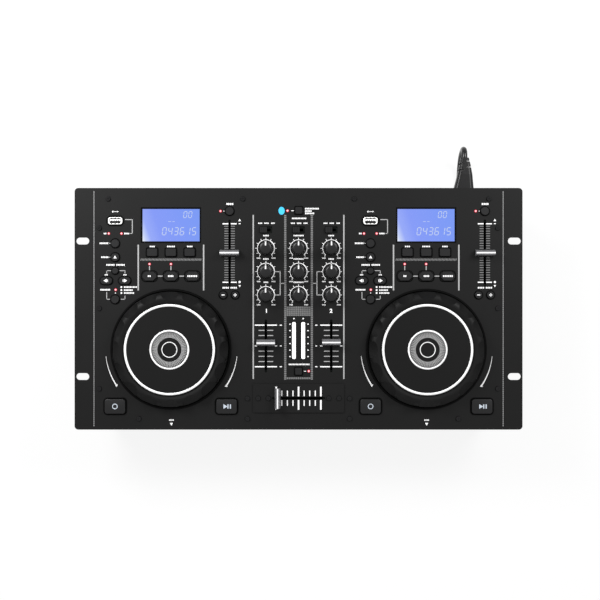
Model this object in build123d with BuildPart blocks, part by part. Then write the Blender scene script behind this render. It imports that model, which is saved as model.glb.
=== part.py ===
from build123d import *
from math import acos, atan, atan2, cos, degrees, dist, pi, radians, sin, tan
import os

# A twin disc player with a built-in mixer, for a disc jockey: a 19-inch rack plate over a
# shallow steel tub. +Z is up, +Y points to the edge with the sockets, and the origin lies
# on the floor below the middle of the plate. All lengths are millimetres.

# Top plate and its rack slots
panel_width = 482.6
panel_depth = 260.4
panel_thickness = 2.0
panel_corner = 4.0
rack_spacing_x = 465.1
rack_spacing_y = 146.05
rack_slot_length = 14.0
rack_slot_width = 7.4

# Tub of folded sheet, on rubber feet
foot_height = 22.0
foot_radius = 13.0
foot_x = 196.0
foot_y = 92.0
foot_stud_radius = 2.5
foot_edge = 1.6
barb_width = 1.4
barb_length = 2.0
barb_taper = 20
tub_width = 440.8
tub_height = 62.0
front_overhang = 5.2
rear_overhang = 6.8
sheet = 1.2
flange_width = 10.0
tab_length = 16.0

# Clearances
key_gap = 0.4
lamp_gap = 0.15
seat_gap = 0.3
shaft_gap = 0.05
bolt_gap = 0.25
slide_gap = 0.3
pocket_gap = 0.3

# Screws
screw_head_radius = 2.8
screw_head_height = 1.5
screw_radius = 1.45
screw_length = 5.0
screw_head_taper = 16
recess_length = 3.0
recess_width = 0.6
recess_depth = 0.9
rear_screw_x = (60.0, 205.0)
rear_screw_y = 118.5
front_screw_x = (55.0, 172.0)
front_screw_y = -118.3
side_screw_x = 214.6
side_screw_y = (87.0, 0.5, -86.0)
mixer_screw = (55.0, -96.5)

# Decks: the right deck is a copy of the left one, shifted
deck_spacing = 275.0
jog_y = -43.5
wheel_radius = 61.8
wheel_peak_radius = 53.0
wheel_skirt = 4.6
wheel_lift = 1.0
wheel_skirt_height = 8.0
wheel_peak_height = 16.2
wheel_web = 3.2
plate_radius = 49.6
plate_height = 17.0
plate_thickness = 2.4
scallop_count = 16
scallop_radius = 18.0
scallop_depth = 1.7
wheel_crown = (2.4, 5.2)
wheel_step = 0.6
plate_edge = 0.6
bezel_width = 2.7
bezel_gap = 0.6
bezel_height = 2.4
bezel_edge = 0.8
jog_shaft_radius = 4.0
jog_nose_radius = 12.0
jog_flange_radius = 21.0
jog_flange_thickness = 3.0
encoder_radius = 17.0
encoder_thickness = 1.2

# Keys, lamps and windows of one deck, from the deck's middle
left_column = -60.0
right_column = 63.2
round_key = 9.0
small_round_key = 7.0
key_rise = 2.2
key_corner = 1.8
key_travel = 1.0
key_flange = 1.2
key_edge = 0.5
key_web = 1.0
key_web_width = 6.0
lamp_room = 1.0
key_stem_radius = 1.5
pad_width = 22.9
pad_depth = 16.3
pad_rise = 3.0
pad_travel = 1.5
pad_row = -105.0
menu_rows = (70.5, 55.6)
small_key_row = 41.0
search_row = 30.3
search_x = (-69.5, -49.7)
search_width = 12.9
search_depth = 7.9
jog_mode_row = 10.2
bend_row = 14.9
bend_x = (56.3, 69.3)
bend_key = 8.0
pitch_key_row = 105.3
display_row = 60.8
display_pitch = 20.2
display_width = 11.5
display_depth = 8.7
loop_row = 35.2
loop_pitch = 23.1
loop_width = 15.7
loop_depth = 10.4
loop_chamfer = 3.6
lamp_radius = 1.5
lamp_rise = 0.5
lamp_dome = 0.7
deck_lamps = ((-67.0, 81.1), (-53.3, 81.1), (-59.6, 20.5), (-23.1, 48.2), (0.0, 48.2), (53.4, 105.3))
window_width = 65.0
window_depth = 38.5
window_row = 90.1
window_lip = 2.0
window_flange = 1.0
window_rise = 0.2
usb_row = 94.8
usb_width = 19.3
usb_depth = 11.5
usb_corner = 2.0
usb_shell_width = 15.3
usb_shell_depth = 7.8
usb_cavity_width = 12.6
usb_cavity_depth = 5.2
usb_cavity_length = 9.0
usb_tongue_margin = 0.8

# Faders
fader_slot = 2.6
lever_thickness = 1.4
lever_width = 4.0
carriage = 5.0
carriage_height = 4.0
carriage_rise = 3.0
fader_play = 1.0
fader_body_width = 10.0
fader_end = 6.0
cap_lift = 1.2
cap_height = 9.0
cap_valley = 0.5
cap_skirt = 1.5
cap_crest = 0.55
pitch_travel = 60.0
pitch_middle = 60.1
pitch_cap_length = 20.6
pitch_cap_width = 6.6
channel_x = 35.2
channel_middle = -40.0
channel_travel = 45.0
channel_rest = (3.4, 4.0)
channel_cap_length = 19.8
channel_cap_width = 7.0
cross_y = -96.2
cross_travel = 45.0
cross_cap_length = 21.4
cross_cap_width = 6.2
cross_plate_width = 98.0
cross_plate_depth = 31.0
cross_plate_thickness = 1.5
cross_plate_corner = 1.5
cross_plate_screw_x = 43.5
cross_body_screw_x = 32.5
cross_body_length = 76.0
cross_body_width = 15.0
cross_body_lift = 2.0
cross_carriage_rise = 4.0

# Mixer knobs, switches, keys and level bars
knob_rows = (65.2, 40.0, 14.9)
knob_radius = 7.6
knob_top_radius = 6.7
knob_height = 13.5
knob_lift = 0.8
knob_shaft_radius = 3.0
pointer_width = 2.0
pointer_start = 2.6
pointer_height = 0.3
pointer_margin = 1.0
knob_edge = 0.9
pot_size = 11.0
switch_row = 85.1
switch_slot_length = 13.6
switch_slot_width = 7.4
switch_button = 7.4
switch_button_width = 6.2
switch_button_rise = 3.0
switch_corner = 0.8
rib_pitch = 1.8
rib_width = 0.7
rib_depth = 0.6
switch_travel = 5.2
switch_body_length = 20.0
switch_body_width = 10.0
pair_key_place = (0.3, 105.9)
relay_key_place = (0.0, -67.3)
square_key = 7.8
mixer_lamps = ((-11.9, 105.7), (11.0, -67.2))
level_x = 5.0
level_width = 4.3
level_top = -14.4
level_length = 39.6

# Boards below the plate
board_drop = 12.0
board_thickness = 1.6
standoff_radius = 3.0
mixer_standoff_radius = 3.5
deck_board_width = 151.0
deck_board_front = 3.0
deck_board_rear = 111.0
deck_standoffs = ((-48.0, 6.0), (48.0, 6.0), (-48.0, 107.0), (45.0, 107.0))
pad_board_width = 146.0
pad_board_depth = 22.0
pad_standoff_x = 36.0
mixer_board_width = 120.0
mixer_board_depth = 222.0
mixer_standoff_y = (-96.5, 0.0, 106.0)
switch_body = 6.0
switch_height = 4.0
power_board_width = 104.0
power_board_depth = 150.0
power_board_y = 30.0
power_board_lift = 6.0
power_standoff_inset = 5.0
transformer_size = (46.0, 40.0, 28.0)
transformer_place = (18.0, 62.0)
capacitor_radius = 9.0
capacitor_height = 24.0
capacitor_places = ((-30.0, 70.0), (-30.0, 46.0), (-30.0, 22.0))
heat_sink_size = (60.0, 4.0, 26.0)
heat_sink_place = (10.0, -6.0)

# Disc drives behind slots in the front wall
drive_width = 148.0
drive_depth = 150.0
drive_height = 27.0
drive_lift = 10.0
drive_leg_radius = 5.0
drive_leg_inset = 10.0
drive_wall = 2.0
disc_slot_width = 126.0
disc_slot_height = 5.0
disc_slot_above = 15.0
disc_bay_depth = 132.0
spindle_back = 66.0
spindle_shaft_radius = 1.5
spindle_hub_radius = 10.0
spindle_hub_height = 2.0
spindle_boss_radius = 7.2
spindle_well_radius = 12.0
spindle_well_depth = 4.0
slot_bezel_width = 138.0
slot_bezel_height = 13.0
slot_bezel_thickness = 2.2
slot_bezel_corner = 3.0
slot_sleeve_wall = 1.6
slot_bezel_edge = 0.8
slot_mouth_corner = 1.0

# Rear plate, sockets, rocker and mains lead
rear_plate_width = 416.0
rear_plate_lift = 2.8
rear_plate_drop = 10.0
rear_plate_margin = 6.0
socket_height = 50.0
phono_x = (-186.0, -162.0, -138.0, 20.0, 44.0, 68.0)
phono_rise = 9.0
phono_barrel_radius = 4.2
phono_bore_radius = 1.6
phono_barrel_length = 7.6
phono_body = (11.0, 12.0, 30.0)
jack_x = (-16.0, 16.0)
jack_radius = 3.2
jack_collar_radius = 6.0
jack_collar_length = 2.6
jack_body = (15.0, 28.0, 15.0)
inlet_x = 182.0
inlet_flange = (31.0, 24.0, 2.0)
inlet_body = (27.0, 20.0, 22.0)
inlet_mouth = (24.6, 16.8, 18.0)
inlet_pin = (2.0, 4.0, 13.0)
inlet_pin_x = 7.0
inlet_pin_rise = 2.0
inlet_corner = 2.0
plug_front = (24.0, 16.2, 17.0)
rocker_x = 150.0
rocker_frame = (22.0, 30.0, 1.6)
rocker_frame_corner = 1.5
rocker_lip = 1.5
rocker_floor = 2.0
rocker_pin_bite = 1.2
rocker_depth = 14.0
rocker_size = (13.0, 21.0)
rocker_angle = 9.0
rocker_pin_radius = 1.5
rocker_proud = 2.4
rocker_side = 1.3
rocker_tail = (4.0, 0.6)
rocker_land = 1.2
rocker_dip = 1.5

# Mains lead: the connector's taper from the inlet outwards, as (distance, width, height, shift)
connector_taper = (
    (0.0, 24.0, 17.0, 0.0),
    (5.5, 22.4, 16.6, 0.0),
    (23.5, 16.1, 14.6, 1.6),
    (34.5, 12.0, 12.0, 1.7),
    (42.0, 9.0, 9.0, 1.4),
)
connector_round = 0.28
relief_slot = 1.3
relief_slot_start = 28.4
relief_slot_step = 3.3
relief_slot_count = 4
relief_cut = 10.0
cord_diameter = 6.5
lane_pitch = 7.6
layer_pitch = 6.95
hank_x = 8.0
hank_run = 92.5
hank_inner_radius = 19.5
hank_half_turns = 4
hank_waist_radius = 35.0
hank_draw = 6.0
hank_waist_run = 28.6
hank_lane_y = 50.0
bend_share = 0.45
trail_step = 1.5
mains_plug_start = (-140.0, 46.0)
mains_plug_size = (36.0, 25.0, 19.4)
mains_plug_relief = 18.0
relief_wall = 1.0
plug_neck_inset = 2.2
plug_corner = 4.0
plug_edge = 1.5
blade = (15.9, 1.5, 6.3)
blade_spacing = 12.7
earth_pin_radius = 2.4
earth_pin_length = 18.0
earth_pin_below = 11.9
blade_lift = 5.6

os.makedirs("parts", exist_ok=True)


def keep(solid, name):
    """Label a finished piece and write it to its own file."""
    solid.label = name
    export_step(solid, f"parts/{name}.step")


# Heights and places that follow from the sizes above
panel_bottom = foot_height + tub_height
panel_top = panel_bottom + panel_thickness
tub_front = -panel_depth / 2 + front_overhang
tub_rear = panel_depth / 2 - rear_overhang
tub_depth = tub_rear - tub_front
tub_y = (tub_front + tub_rear) / 2
tub_floor = foot_height + sheet
board_top = panel_bottom - board_drop
board_bottom = board_top - board_thickness
switch_top = board_top + switch_height
flange_top = panel_bottom - seat_gap
decks = {"left": -deck_spacing / 2, "right": deck_spacing / 2}
plate_face = tub_rear - sheet
rear_plate_height = panel_bottom - rear_plate_drop - tub_floor - rear_plate_lift
rear_plate_middle = tub_floor + rear_plate_lift + rear_plate_height / 2
drive_bottom = tub_floor + drive_lift
drive_front = tub_front + sheet + seat_gap
slot_z = drive_bottom + disc_slot_above
spindle_y = drive_front + spindle_back
lamp_places = [(x + dx, y) for x in decks.values() for dx, y in deck_lamps] + list(mixer_lamps)

side_screws = [(s * side_screw_x, y) for s in (-1, 1) for y in side_screw_y]
rear_screws = [(s * x, rear_screw_y) for s in (-1, 1) for x in rear_screw_x]
front_screws = [(s * x, front_screw_y) for s in (-1, 1) for x in front_screw_x]
mixer_screws = [(s * mixer_screw[0], mixer_screw[1]) for s in (-1, 1)]
cross_plate_screws = [(s * cross_plate_screw_x, cross_y) for s in (-1, 1)]
cross_body_screws = [(s * cross_body_screw_x, cross_y) for s in (-1, 1)]


def key_outline(shape, width, depth, grow=0.0, mode=Mode.ADD):
    """Draw a key's outline at the current place, grown all round by a clearance."""
    w, d = width + 2 * grow, depth + 2 * grow
    if shape == "round":
        Circle(w / 2, mode=mode)
    elif shape == "oval":
        SlotOverall(w, d, mode=mode)
    elif shape == "block":
        RectangleRounded(w, d, key_corner + grow, mode=mode)
    else:
        x, y, cut = w / 2, d / 2, loop_chamfer
        Polygon(
            (cut - x, -y), (x - cut, -y), (x, cut - y), (x, y - cut),
            (x - cut, y), (cut - x, y), (-x, y - cut), (-x, cut - y), mode=mode,
        )


# The keys of one deck: a moulded piece carries one or more caps, (shape, x, y, width, depth)
deck_keys = {
    "cue_key": [("block", left_column, pad_row, pad_width, pad_depth)],
    "play_key": [("block", -left_column, pad_row, pad_width, pad_depth)],
    "pitch_key": [("round", right_column, pitch_key_row, round_key, round_key)],
    "menu_keys": [("round", left_column, y, round_key, round_key) for y in menu_rows]
    + [("round", left_column, small_key_row, small_round_key, small_round_key)],
    "search_keys": [("oval", x, search_row, search_width, search_depth) for x in search_x]
    + [("round", left_column, jog_mode_row, round_key, round_key)],
    "display_keys": [
        ("block", n * display_pitch, display_row, display_width, display_depth) for n in (-1, 0, 1)
    ],
    "loop_keys": [("octagon", n * loop_pitch, loop_row, loop_width, loop_depth) for n in (-1, 0, 1)],
    "bend_keys": [("round", x, bend_row, bend_key, bend_key) for x in bend_x],
}
mixer_keys = {
    "pair_key": [("block", *pair_key_place, square_key, square_key)],
    "relay_key": [("block", *relay_key_place, square_key, square_key)],
}
all_keys = {}
for side, deck_x in decks.items():
    for name, caps in deck_keys.items():
        all_keys[f"{name}_{side}"] = [(shape, deck_x + x, y, w, d) for shape, x, y, w, d in caps]
all_keys.update(mixer_keys)

# Top plate
with BuildPart() as top_panel:
    with BuildSketch(Plane.XY.offset(panel_bottom)):
        RectangleRounded(panel_width, panel_depth, panel_corner)
        with GridLocations(rack_spacing_x, rack_spacing_y, 2, 2):
            SlotOverall(rack_slot_length, rack_slot_width, mode=Mode.SUBTRACT)
        for caps in all_keys.values():
            for shape, x, y, w, d in caps:
                with Locations((x, y)):
                    key_outline(shape, w, d, key_gap, Mode.SUBTRACT)
        with Locations(*lamp_places):
            Circle(lamp_radius + lamp_gap, mode=Mode.SUBTRACT)
        with Locations(*side_screws, *rear_screws, *front_screws, *mixer_screws):
            Circle(screw_radius + bolt_gap, mode=Mode.SUBTRACT)
        with Locations(*cross_plate_screws):
            Circle(screw_radius + shaft_gap, mode=Mode.SUBTRACT)
        for deck_x in decks.values():
            with Locations((deck_x, jog_y)):
                Circle(jog_nose_radius + pocket_gap, mode=Mode.SUBTRACT)
            with Locations((deck_x, window_row)):
                Rectangle(window_width, window_depth, mode=Mode.SUBTRACT)
            with Locations((deck_x + left_column, usb_row)):
                RectangleRounded(usb_width, usb_depth, usb_corner, mode=Mode.SUBTRACT)
            with Locations((deck_x + right_column, pitch_middle)):
                SlotOverall(pitch_travel + 3 * lever_width, fader_slot, rotation=90, mode=Mode.SUBTRACT)
        for x in (-channel_x, channel_x):
            with Locations((x, channel_middle)):
                SlotOverall(channel_travel + 3 * lever_width, fader_slot, rotation=90, mode=Mode.SUBTRACT)
        with Locations(*[(n * channel_x, y) for n in (-1, 0, 1) for y in knob_rows]):
            Circle(knob_shaft_radius + key_gap, mode=Mode.SUBTRACT)
        with Locations(*[(n * channel_x, switch_row) for n in (-1, 0, 1)]):
            RectangleRounded(switch_slot_length, switch_slot_width, switch_corner, mode=Mode.SUBTRACT)
        with Locations((0, cross_y)):
            Rectangle(
                cross_body_length + 2 * pocket_gap, cross_body_width + 2 * pocket_gap, mode=Mode.SUBTRACT
            )
        with Locations(*[(s * level_x, level_top - level_length / 2) for s in (-1, 1)]):
            Rectangle(level_width + 2 * lamp_gap, level_length + 2 * lamp_gap, mode=Mode.SUBTRACT)
    extrude(amount=panel_thickness)
keep(top_panel.part, "top_panel")

# Tub: floor, four walls, two flanges and six tabs that carry the plate
slot_cut_width = disc_slot_width + 2 * slot_sleeve_wall + 2 * pocket_gap
slot_cut_height = disc_slot_height + 2 * slot_sleeve_wall + 2 * pocket_gap
foot_places = [(sx * foot_x, sy * foot_y) for sx in (-1, 1) for sy in (-1, 1)]
leg_x = drive_width / 2 - drive_leg_inset
leg_y = (drive_front + drive_leg_inset, drive_front + drive_depth - drive_leg_inset)
with BuildPart() as chassis_tub:
    with BuildSketch(Plane.XY.offset(foot_height)):
        with Locations((0, tub_y)):
            Rectangle(tub_width, tub_depth)
    extrude(amount=tub_height)
    with BuildSketch(Plane.XY.offset(tub_floor)):
        with Locations((0, tub_y)):
            Rectangle(tub_width - 2 * sheet, tub_depth - 2 * sheet)
    extrude(amount=tub_height, mode=Mode.SUBTRACT)
    with BuildSketch(Plane.XY.offset(panel_bottom - sheet)):
        for y in (tub_front + flange_width / 2, tub_rear - flange_width / 2):
            with Locations((0, y)):
                Rectangle(tub_width, flange_width)
        for s in (-1, 1):
            for y in side_screw_y:
                with Locations((s * (tub_width - flange_width) / 2, y)):
                    Rectangle(flange_width, tab_length)
        with Locations(*side_screws, *rear_screws, *front_screws):
            Circle(screw_radius + shaft_gap, mode=Mode.SUBTRACT)
    extrude(amount=sheet)
    with BuildSketch(Plane.XY.offset(foot_height)):
        with Locations(*foot_places):
            Circle(foot_stud_radius + pocket_gap)
    extrude(amount=sheet, mode=Mode.SUBTRACT)
    with BuildSketch(Plane.XZ.offset(-tub_front)):
        for deck_x in decks.values():
            with Locations((deck_x, slot_z)):
                Rectangle(slot_cut_width, slot_cut_height)
        with Locations(*[(x, socket_height) for x in jack_x]):
            Circle(jack_collar_radius + pocket_gap)
    extrude(amount=-sheet, mode=Mode.SUBTRACT)
    with BuildSketch(Plane.XZ.offset(-tub_rear)):
        with Locations((0, rear_plate_middle)):
            Rectangle(rear_plate_width - 2 * rear_plate_margin, rear_plate_height - 2 * rear_plate_margin)
    extrude(amount=sheet, mode=Mode.SUBTRACT)
keep(chassis_tub.part, "chassis_tub")

# Rubber feet, each with a barbed stud pushed through the tub's floor
with BuildPart() as rubber_feet:
    with BuildSketch():
        with Locations(*foot_places):
            Circle(foot_radius)
    extrude(amount=foot_height)
    fillet(rubber_feet.faces().filter_by(Plane.XY).sort_by(Axis.Z)[:4].edges(), foot_edge)
    with BuildSketch(Plane.XY.offset(foot_height)):
        with Locations(*foot_places):
            Circle(foot_stud_radius)
    extrude(amount=sheet + seat_gap)
    with BuildSketch(Plane.XY.offset(tub_floor + seat_gap)):
        with Locations(*foot_places):
            Circle(foot_stud_radius + barb_width)
    extrude(amount=barb_length, taper=barb_taper)
keep(rubber_feet.part, "rubber_feet")

# Screws: button heads with a cross recess
with BuildPart() as panel_screws:
    for base, places in (
        (panel_top, side_screws + rear_screws + front_screws + mixer_screws),
        (panel_top + cross_plate_thickness, cross_plate_screws + cross_body_screws),
    ):
        with BuildSketch(Plane.XY.offset(base)):
            with Locations(*places):
                Circle(screw_head_radius)
        extrude(amount=screw_head_height, taper=screw_head_taper)
        with BuildSketch(Plane.XY.offset(base)):
            with Locations(*places):
                Circle(screw_radius)
        extrude(amount=-screw_length)
        with BuildSketch(Plane.XY.offset(base + screw_head_height)):
            with Locations(*places):
                Rectangle(recess_length, recess_width)
                Rectangle(recess_width, recess_length)
        extrude(amount=-recess_depth, mode=Mode.SUBTRACT)
keep(panel_screws.part, "panel_screws")

# Jog wheels: a hollow wheel, its shaft and the encoder disc below the bearing
wheel_bottom = panel_top + wheel_lift
wheel_shoulder = wheel_bottom + wheel_skirt_height
wheel_peak = panel_top + wheel_peak_height
plate_top = panel_top + plate_height
plate_seat = plate_top - plate_thickness
encoder_top = board_top - wheel_lift
for side, deck_x in decks.items():
    axle = Plane((deck_x, jog_y, 0), x_dir=(1, 0, 0), z_dir=(0, -1, 0))
    with BuildPart() as jog_wheel:
        with BuildSketch(axle):
            with BuildLine():
                Polyline(
                    (0, encoder_top - encoder_thickness),
                    (encoder_radius, encoder_top - encoder_thickness),
                    (encoder_radius, encoder_top),
                    (jog_shaft_radius, encoder_top),
                    (jog_shaft_radius, panel_top + seat_gap),
                    (jog_nose_radius, panel_top + seat_gap),
                    (jog_nose_radius, plate_seat - wheel_web),
                    (wheel_radius - wheel_skirt, plate_seat - wheel_web),
                    (wheel_radius - wheel_skirt, wheel_bottom),
                    (wheel_radius, wheel_bottom),
                    (wheel_radius, wheel_shoulder),
                )
                ThreePointArc(
                    (wheel_radius, wheel_shoulder),
                    (wheel_radius - wheel_crown[0], wheel_shoulder + wheel_crown[1]),
                    (wheel_peak_radius, wheel_peak),
                )
                Polyline(
                    (wheel_peak_radius, wheel_peak),
                    (plate_radius + seat_gap, wheel_peak - wheel_step),
                    (plate_radius + seat_gap, plate_seat),
                    (0, plate_seat),
                    (0, encoder_top - encoder_thickness),
                )
            make_face()
        revolve(axis=Axis((deck_x, jog_y, 0), (0, 0, 1)))
        # Finger scallops, which deepen from the rim's peak to its edge
        reach = wheel_radius - wheel_peak_radius
        drop = wheel_peak - wheel_shoulder + scallop_depth
        tilt = degrees(atan2(drop, reach))
        with Locations(Location((deck_x, jog_y, wheel_peak))):
            with PolarLocations(wheel_peak_radius, scallop_count):
                with Locations(Location((0, 0, 0), (0, 90 + tilt, 0))):
                    with Locations((-scallop_radius, 0, 0)):
                        Cylinder(
                            scallop_radius, 2 * (reach + drop),
                            align=(Align.CENTER, Align.CENTER, Align.MIN), mode=Mode.SUBTRACT,
                        )
    keep(jog_wheel.part, f"jog_wheel_{side}")

    with BuildPart() as jog_plate:
        with BuildSketch(Plane.XY.offset(plate_seat)):
            with Locations((deck_x, jog_y)):
                Circle(plate_radius)
        extrude(amount=plate_thickness)
        chamfer(jog_plate.edges().group_by(Axis.Z)[-1], plate_edge)
    keep(jog_plate.part, f"jog_plate_{side}")

# Fixed rings round the jog wheels
with BuildPart() as jog_bezels:
    with BuildSketch(Plane.XY.offset(panel_top)):
        with Locations(*[(x, jog_y) for x in decks.values()]):
            Circle(wheel_radius + bezel_gap + bezel_width)
            Circle(wheel_radius + bezel_gap, mode=Mode.SUBTRACT)
    extrude(amount=bezel_height)
    chamfer(jog_bezels.edges().group_by(Axis.Z)[-1], bezel_edge)
keep(jog_bezels.part, "jog_bezels")

# Keys: caps through the plate, joined below it by a web, with a stem over each switch
for name, caps in all_keys.items():
    pad = caps[0][3] == pad_width
    rise = pad_rise if pad else key_rise
    travel = pad_travel if pad else key_travel
    web_low = flange_top - key_web
    (ax, ay), (bx, by) = (caps[0][1], caps[0][2]), (caps[-1][1], caps[-1][2])
    with BuildPart() as key:
        for shape, x, y, w, d in caps:
            with BuildSketch(Plane.XY.offset(flange_top)):
                with Locations((x, y)):
                    key_outline(shape, w, d)
            extrude(amount=panel_top + rise - flange_top)
        chamfer(key.edges().group_by(Axis.Z)[-1], key_edge)
        with BuildSketch(Plane.XY.offset(web_low)):
            for shape, x, y, w, d in caps:
                with Locations((x, y)):
                    key_outline(shape, w, d, key_flange)
            if name.startswith("search"):
                with Locations(((ax + caps[1][1]) / 2, ay)):
                    Rectangle(caps[1][1] - ax, key_web_width)
                with Locations((bx, (ay + by) / 2)):
                    Rectangle(key_web_width + 2, ay - by)
                with Locations((bx, deck_lamps[2][1])):
                    Circle(lamp_radius + lamp_room, mode=Mode.SUBTRACT)
            elif len(caps) > 1:
                with Locations(((ax + bx) / 2, (ay + by) / 2)):
                    Rectangle(abs(bx - ax) + key_web_width, abs(by - ay) + key_web_width)
        extrude(amount=key_web)
        with BuildSketch(Plane.XY.offset(switch_top + travel + seat_gap)):
            with Locations(*[(x, y) for _, x, y, _, _ in caps]):
                Circle(key_stem_radius)
        extrude(amount=web_low - switch_top - travel - seat_gap)
    keep(key.part, name)


def fader(name, x, y, shift, along, cap_length, cap_width, base, floor):
    """Make a fader's cap, its lever and the carriage inside the fader's body, slid by shift."""
    bottom = base + cap_lift
    if along == "y":
        across = Plane((x, y, 0), x_dir=(0, 1, 0), z_dir=(1, 0, 0))
        lever, block = (lever_thickness, lever_width), (fader_slot, carriage)
        place = (x, y + shift)
    else:
        across = Plane((x, y, 0), x_dir=(1, 0, 0), z_dir=(0, -1, 0))
        lever, block = (lever_width, lever_thickness), (carriage, fader_slot)
        place = (x + shift, y)
    half, crest = cap_width / 2, cap_crest * cap_width / 2
    top = bottom + cap_height
    with BuildPart() as cap:
        with BuildSketch(across):
            with BuildLine():
                Polyline(
                    (shift - crest, top), (shift - half, bottom + cap_skirt), (shift - half, bottom),
                    (shift + half, bottom), (shift + half, bottom + cap_skirt), (shift + crest, top),
                )
                ThreePointArc((shift + crest, top), (shift, top - cap_valley), (shift - crest, top))
            make_face()
        extrude(amount=cap_length / 2, both=True)
        with BuildSketch(Plane.XY.offset(floor)):
            with Locations(place):
                Rectangle(*lever)
        extrude(amount=bottom - floor)
        with BuildSketch(Plane.XY.offset(floor)):
            with Locations(place):
                Rectangle(*block)
        extrude(amount=carriage_height)
    keep(cap.part, name)


carriage_low = board_top + carriage_rise
for side, deck_x in decks.items():
    fader(f"pitch_fader_{side}", deck_x + right_column, pitch_middle, 0.0, "y",
          pitch_cap_length, pitch_cap_width, panel_top, carriage_low)
for side, x, rest in (("left", -channel_x, channel_rest[0]), ("right", channel_x, channel_rest[1])):
    fader(f"channel_fader_{side}", x, channel_middle, rest, "y",
          channel_cap_length, channel_cap_width, panel_top, carriage_low)
fader("crossfader", 0.0, cross_y, -cross_travel / 2, "x",
      cross_cap_length, cross_cap_width, panel_top + cross_plate_thickness,
      board_top + cross_carriage_rise)

# Plate over the crossfader, which comes off with it
with BuildPart() as crossfader_plate:
    with BuildSketch(Plane.XY.offset(panel_top)):
        with Locations((0, cross_y)):
            RectangleRounded(cross_plate_width, cross_plate_depth, cross_plate_corner)
            SlotOverall(cross_travel + 3 * lever_width, fader_slot, mode=Mode.SUBTRACT)
        with Locations(*cross_plate_screws, *cross_body_screws):
            Circle(screw_radius + bolt_gap, mode=Mode.SUBTRACT)
    extrude(amount=cross_plate_thickness)
keep(crossfader_plate.part, "crossfader_plate")

# Knobs: a tapered cap with a raised pointer, on a shaft into the control below
knob_bottom = panel_top + knob_lift
knob_top = knob_bottom + knob_height
pointer_end = knob_top_radius - pointer_margin
knob_places = [(n, m) for m in range(len(knob_rows)) for n in (-1, 0, 1)]
column_names = {-1: "left", 0: "middle", 1: "right"}
row_names = ("top", "centre", "bottom")
for n, m in knob_places:
    x, y = n * channel_x, knob_rows[m]
    with BuildPart() as knob:
        with BuildSketch(Plane.XY.offset(knob_bottom)):
            with Locations((x, y)):
                Circle(knob_radius)
        with BuildSketch(Plane.XY.offset(knob_top)):
            with Locations((x, y)):
                Circle(knob_top_radius)
        loft()
        fillet(knob.edges().group_by(Axis.Z)[-1], knob_edge)
        with BuildSketch(Plane.XY.offset(knob_top)):
            with Locations((x, y + (pointer_start + pointer_end) / 2)):
                Rectangle(pointer_width, pointer_end - pointer_start)
        extrude(amount=pointer_height)
        with BuildSketch(Plane.XY.offset(board_top + seat_gap)):
            with Locations((x, y)):
                Circle(knob_shaft_radius)
        extrude(amount=knob_bottom - board_top - seat_gap)
    keep(knob.part, f"knob_{column_names[n]}_{row_names[m]}")

# Slide switches: a ribbed button in a slot, with a tongue into the switch
for column, name in ((-1, "source_switch_left"), (0, "cue_switch"), (1, "source_switch_right")):
    x = column * channel_x - switch_travel / 2
    with BuildPart() as slider:
        with BuildSketch(Plane.XY.offset(panel_bottom + seat_gap)):
            with Locations((x, switch_row)):
                RectangleRounded(switch_button, switch_button_width, switch_corner)
        extrude(amount=panel_thickness - seat_gap + switch_button_rise)
        with BuildSketch(Plane.XY.offset(panel_top + switch_button_rise)):
            with Locations(*[(x + n * rib_pitch, switch_row) for n in (-1, 0, 1)]):
                Rectangle(rib_width, switch_button_width)
        extrude(amount=-rib_depth, mode=Mode.SUBTRACT)
        with BuildSketch(Plane.XY.offset(carriage_low)):
            with Locations((x, switch_row)):
                Rectangle(lever_width, fader_slot)
        extrude(amount=panel_bottom + seat_gap - carriage_low)
    keep(slider.part, name)

# Display windows, flush in the plate and glued below it by a lip
with BuildPart() as display_windows:
    for deck_x in decks.values():
        with BuildSketch(Plane.XY.offset(panel_bottom - window_flange)):
            with Locations((deck_x, window_row)):
                Rectangle(window_width + 2 * window_lip, window_depth + 2 * window_lip)
        extrude(amount=window_flange)
        with BuildSketch(Plane.XY.offset(panel_bottom)):
            with Locations((deck_x, window_row)):
                Rectangle(window_width - 2 * lamp_gap, window_depth - 2 * lamp_gap)
        extrude(amount=panel_thickness + window_rise)
keep(display_windows.part, "display_windows")

# Display modules between the window's lip and the board
with BuildPart() as display_modules:
    with BuildSketch(Plane.XY.offset(board_top)):
        with Locations(*[(x, window_row) for x in decks.values()]):
            Rectangle(window_width + 2 * window_lip, window_depth + 2 * window_lip)
    extrude(amount=board_drop - window_flange)
keep(display_modules.part, "display_modules")

# Indicator lamps and level bars, from the boards up through the plate
with BuildPart() as indicator_lamps:
    with BuildSketch(Plane.XY.offset(board_top)):
        with Locations(*lamp_places):
            Circle(lamp_radius)
    extrude(amount=board_drop + panel_thickness + lamp_rise)
    fillet(indicator_lamps.edges().group_by(Axis.Z)[-1], lamp_dome)
    with BuildSketch(Plane.XY.offset(board_top)):
        with Locations(*[(s * level_x, level_top - level_length / 2) for s in (-1, 1)]):
            Rectangle(level_width, level_length)
    extrude(amount=board_drop + panel_thickness + window_rise)
keep(indicator_lamps.part, "indicator_lamps")

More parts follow.
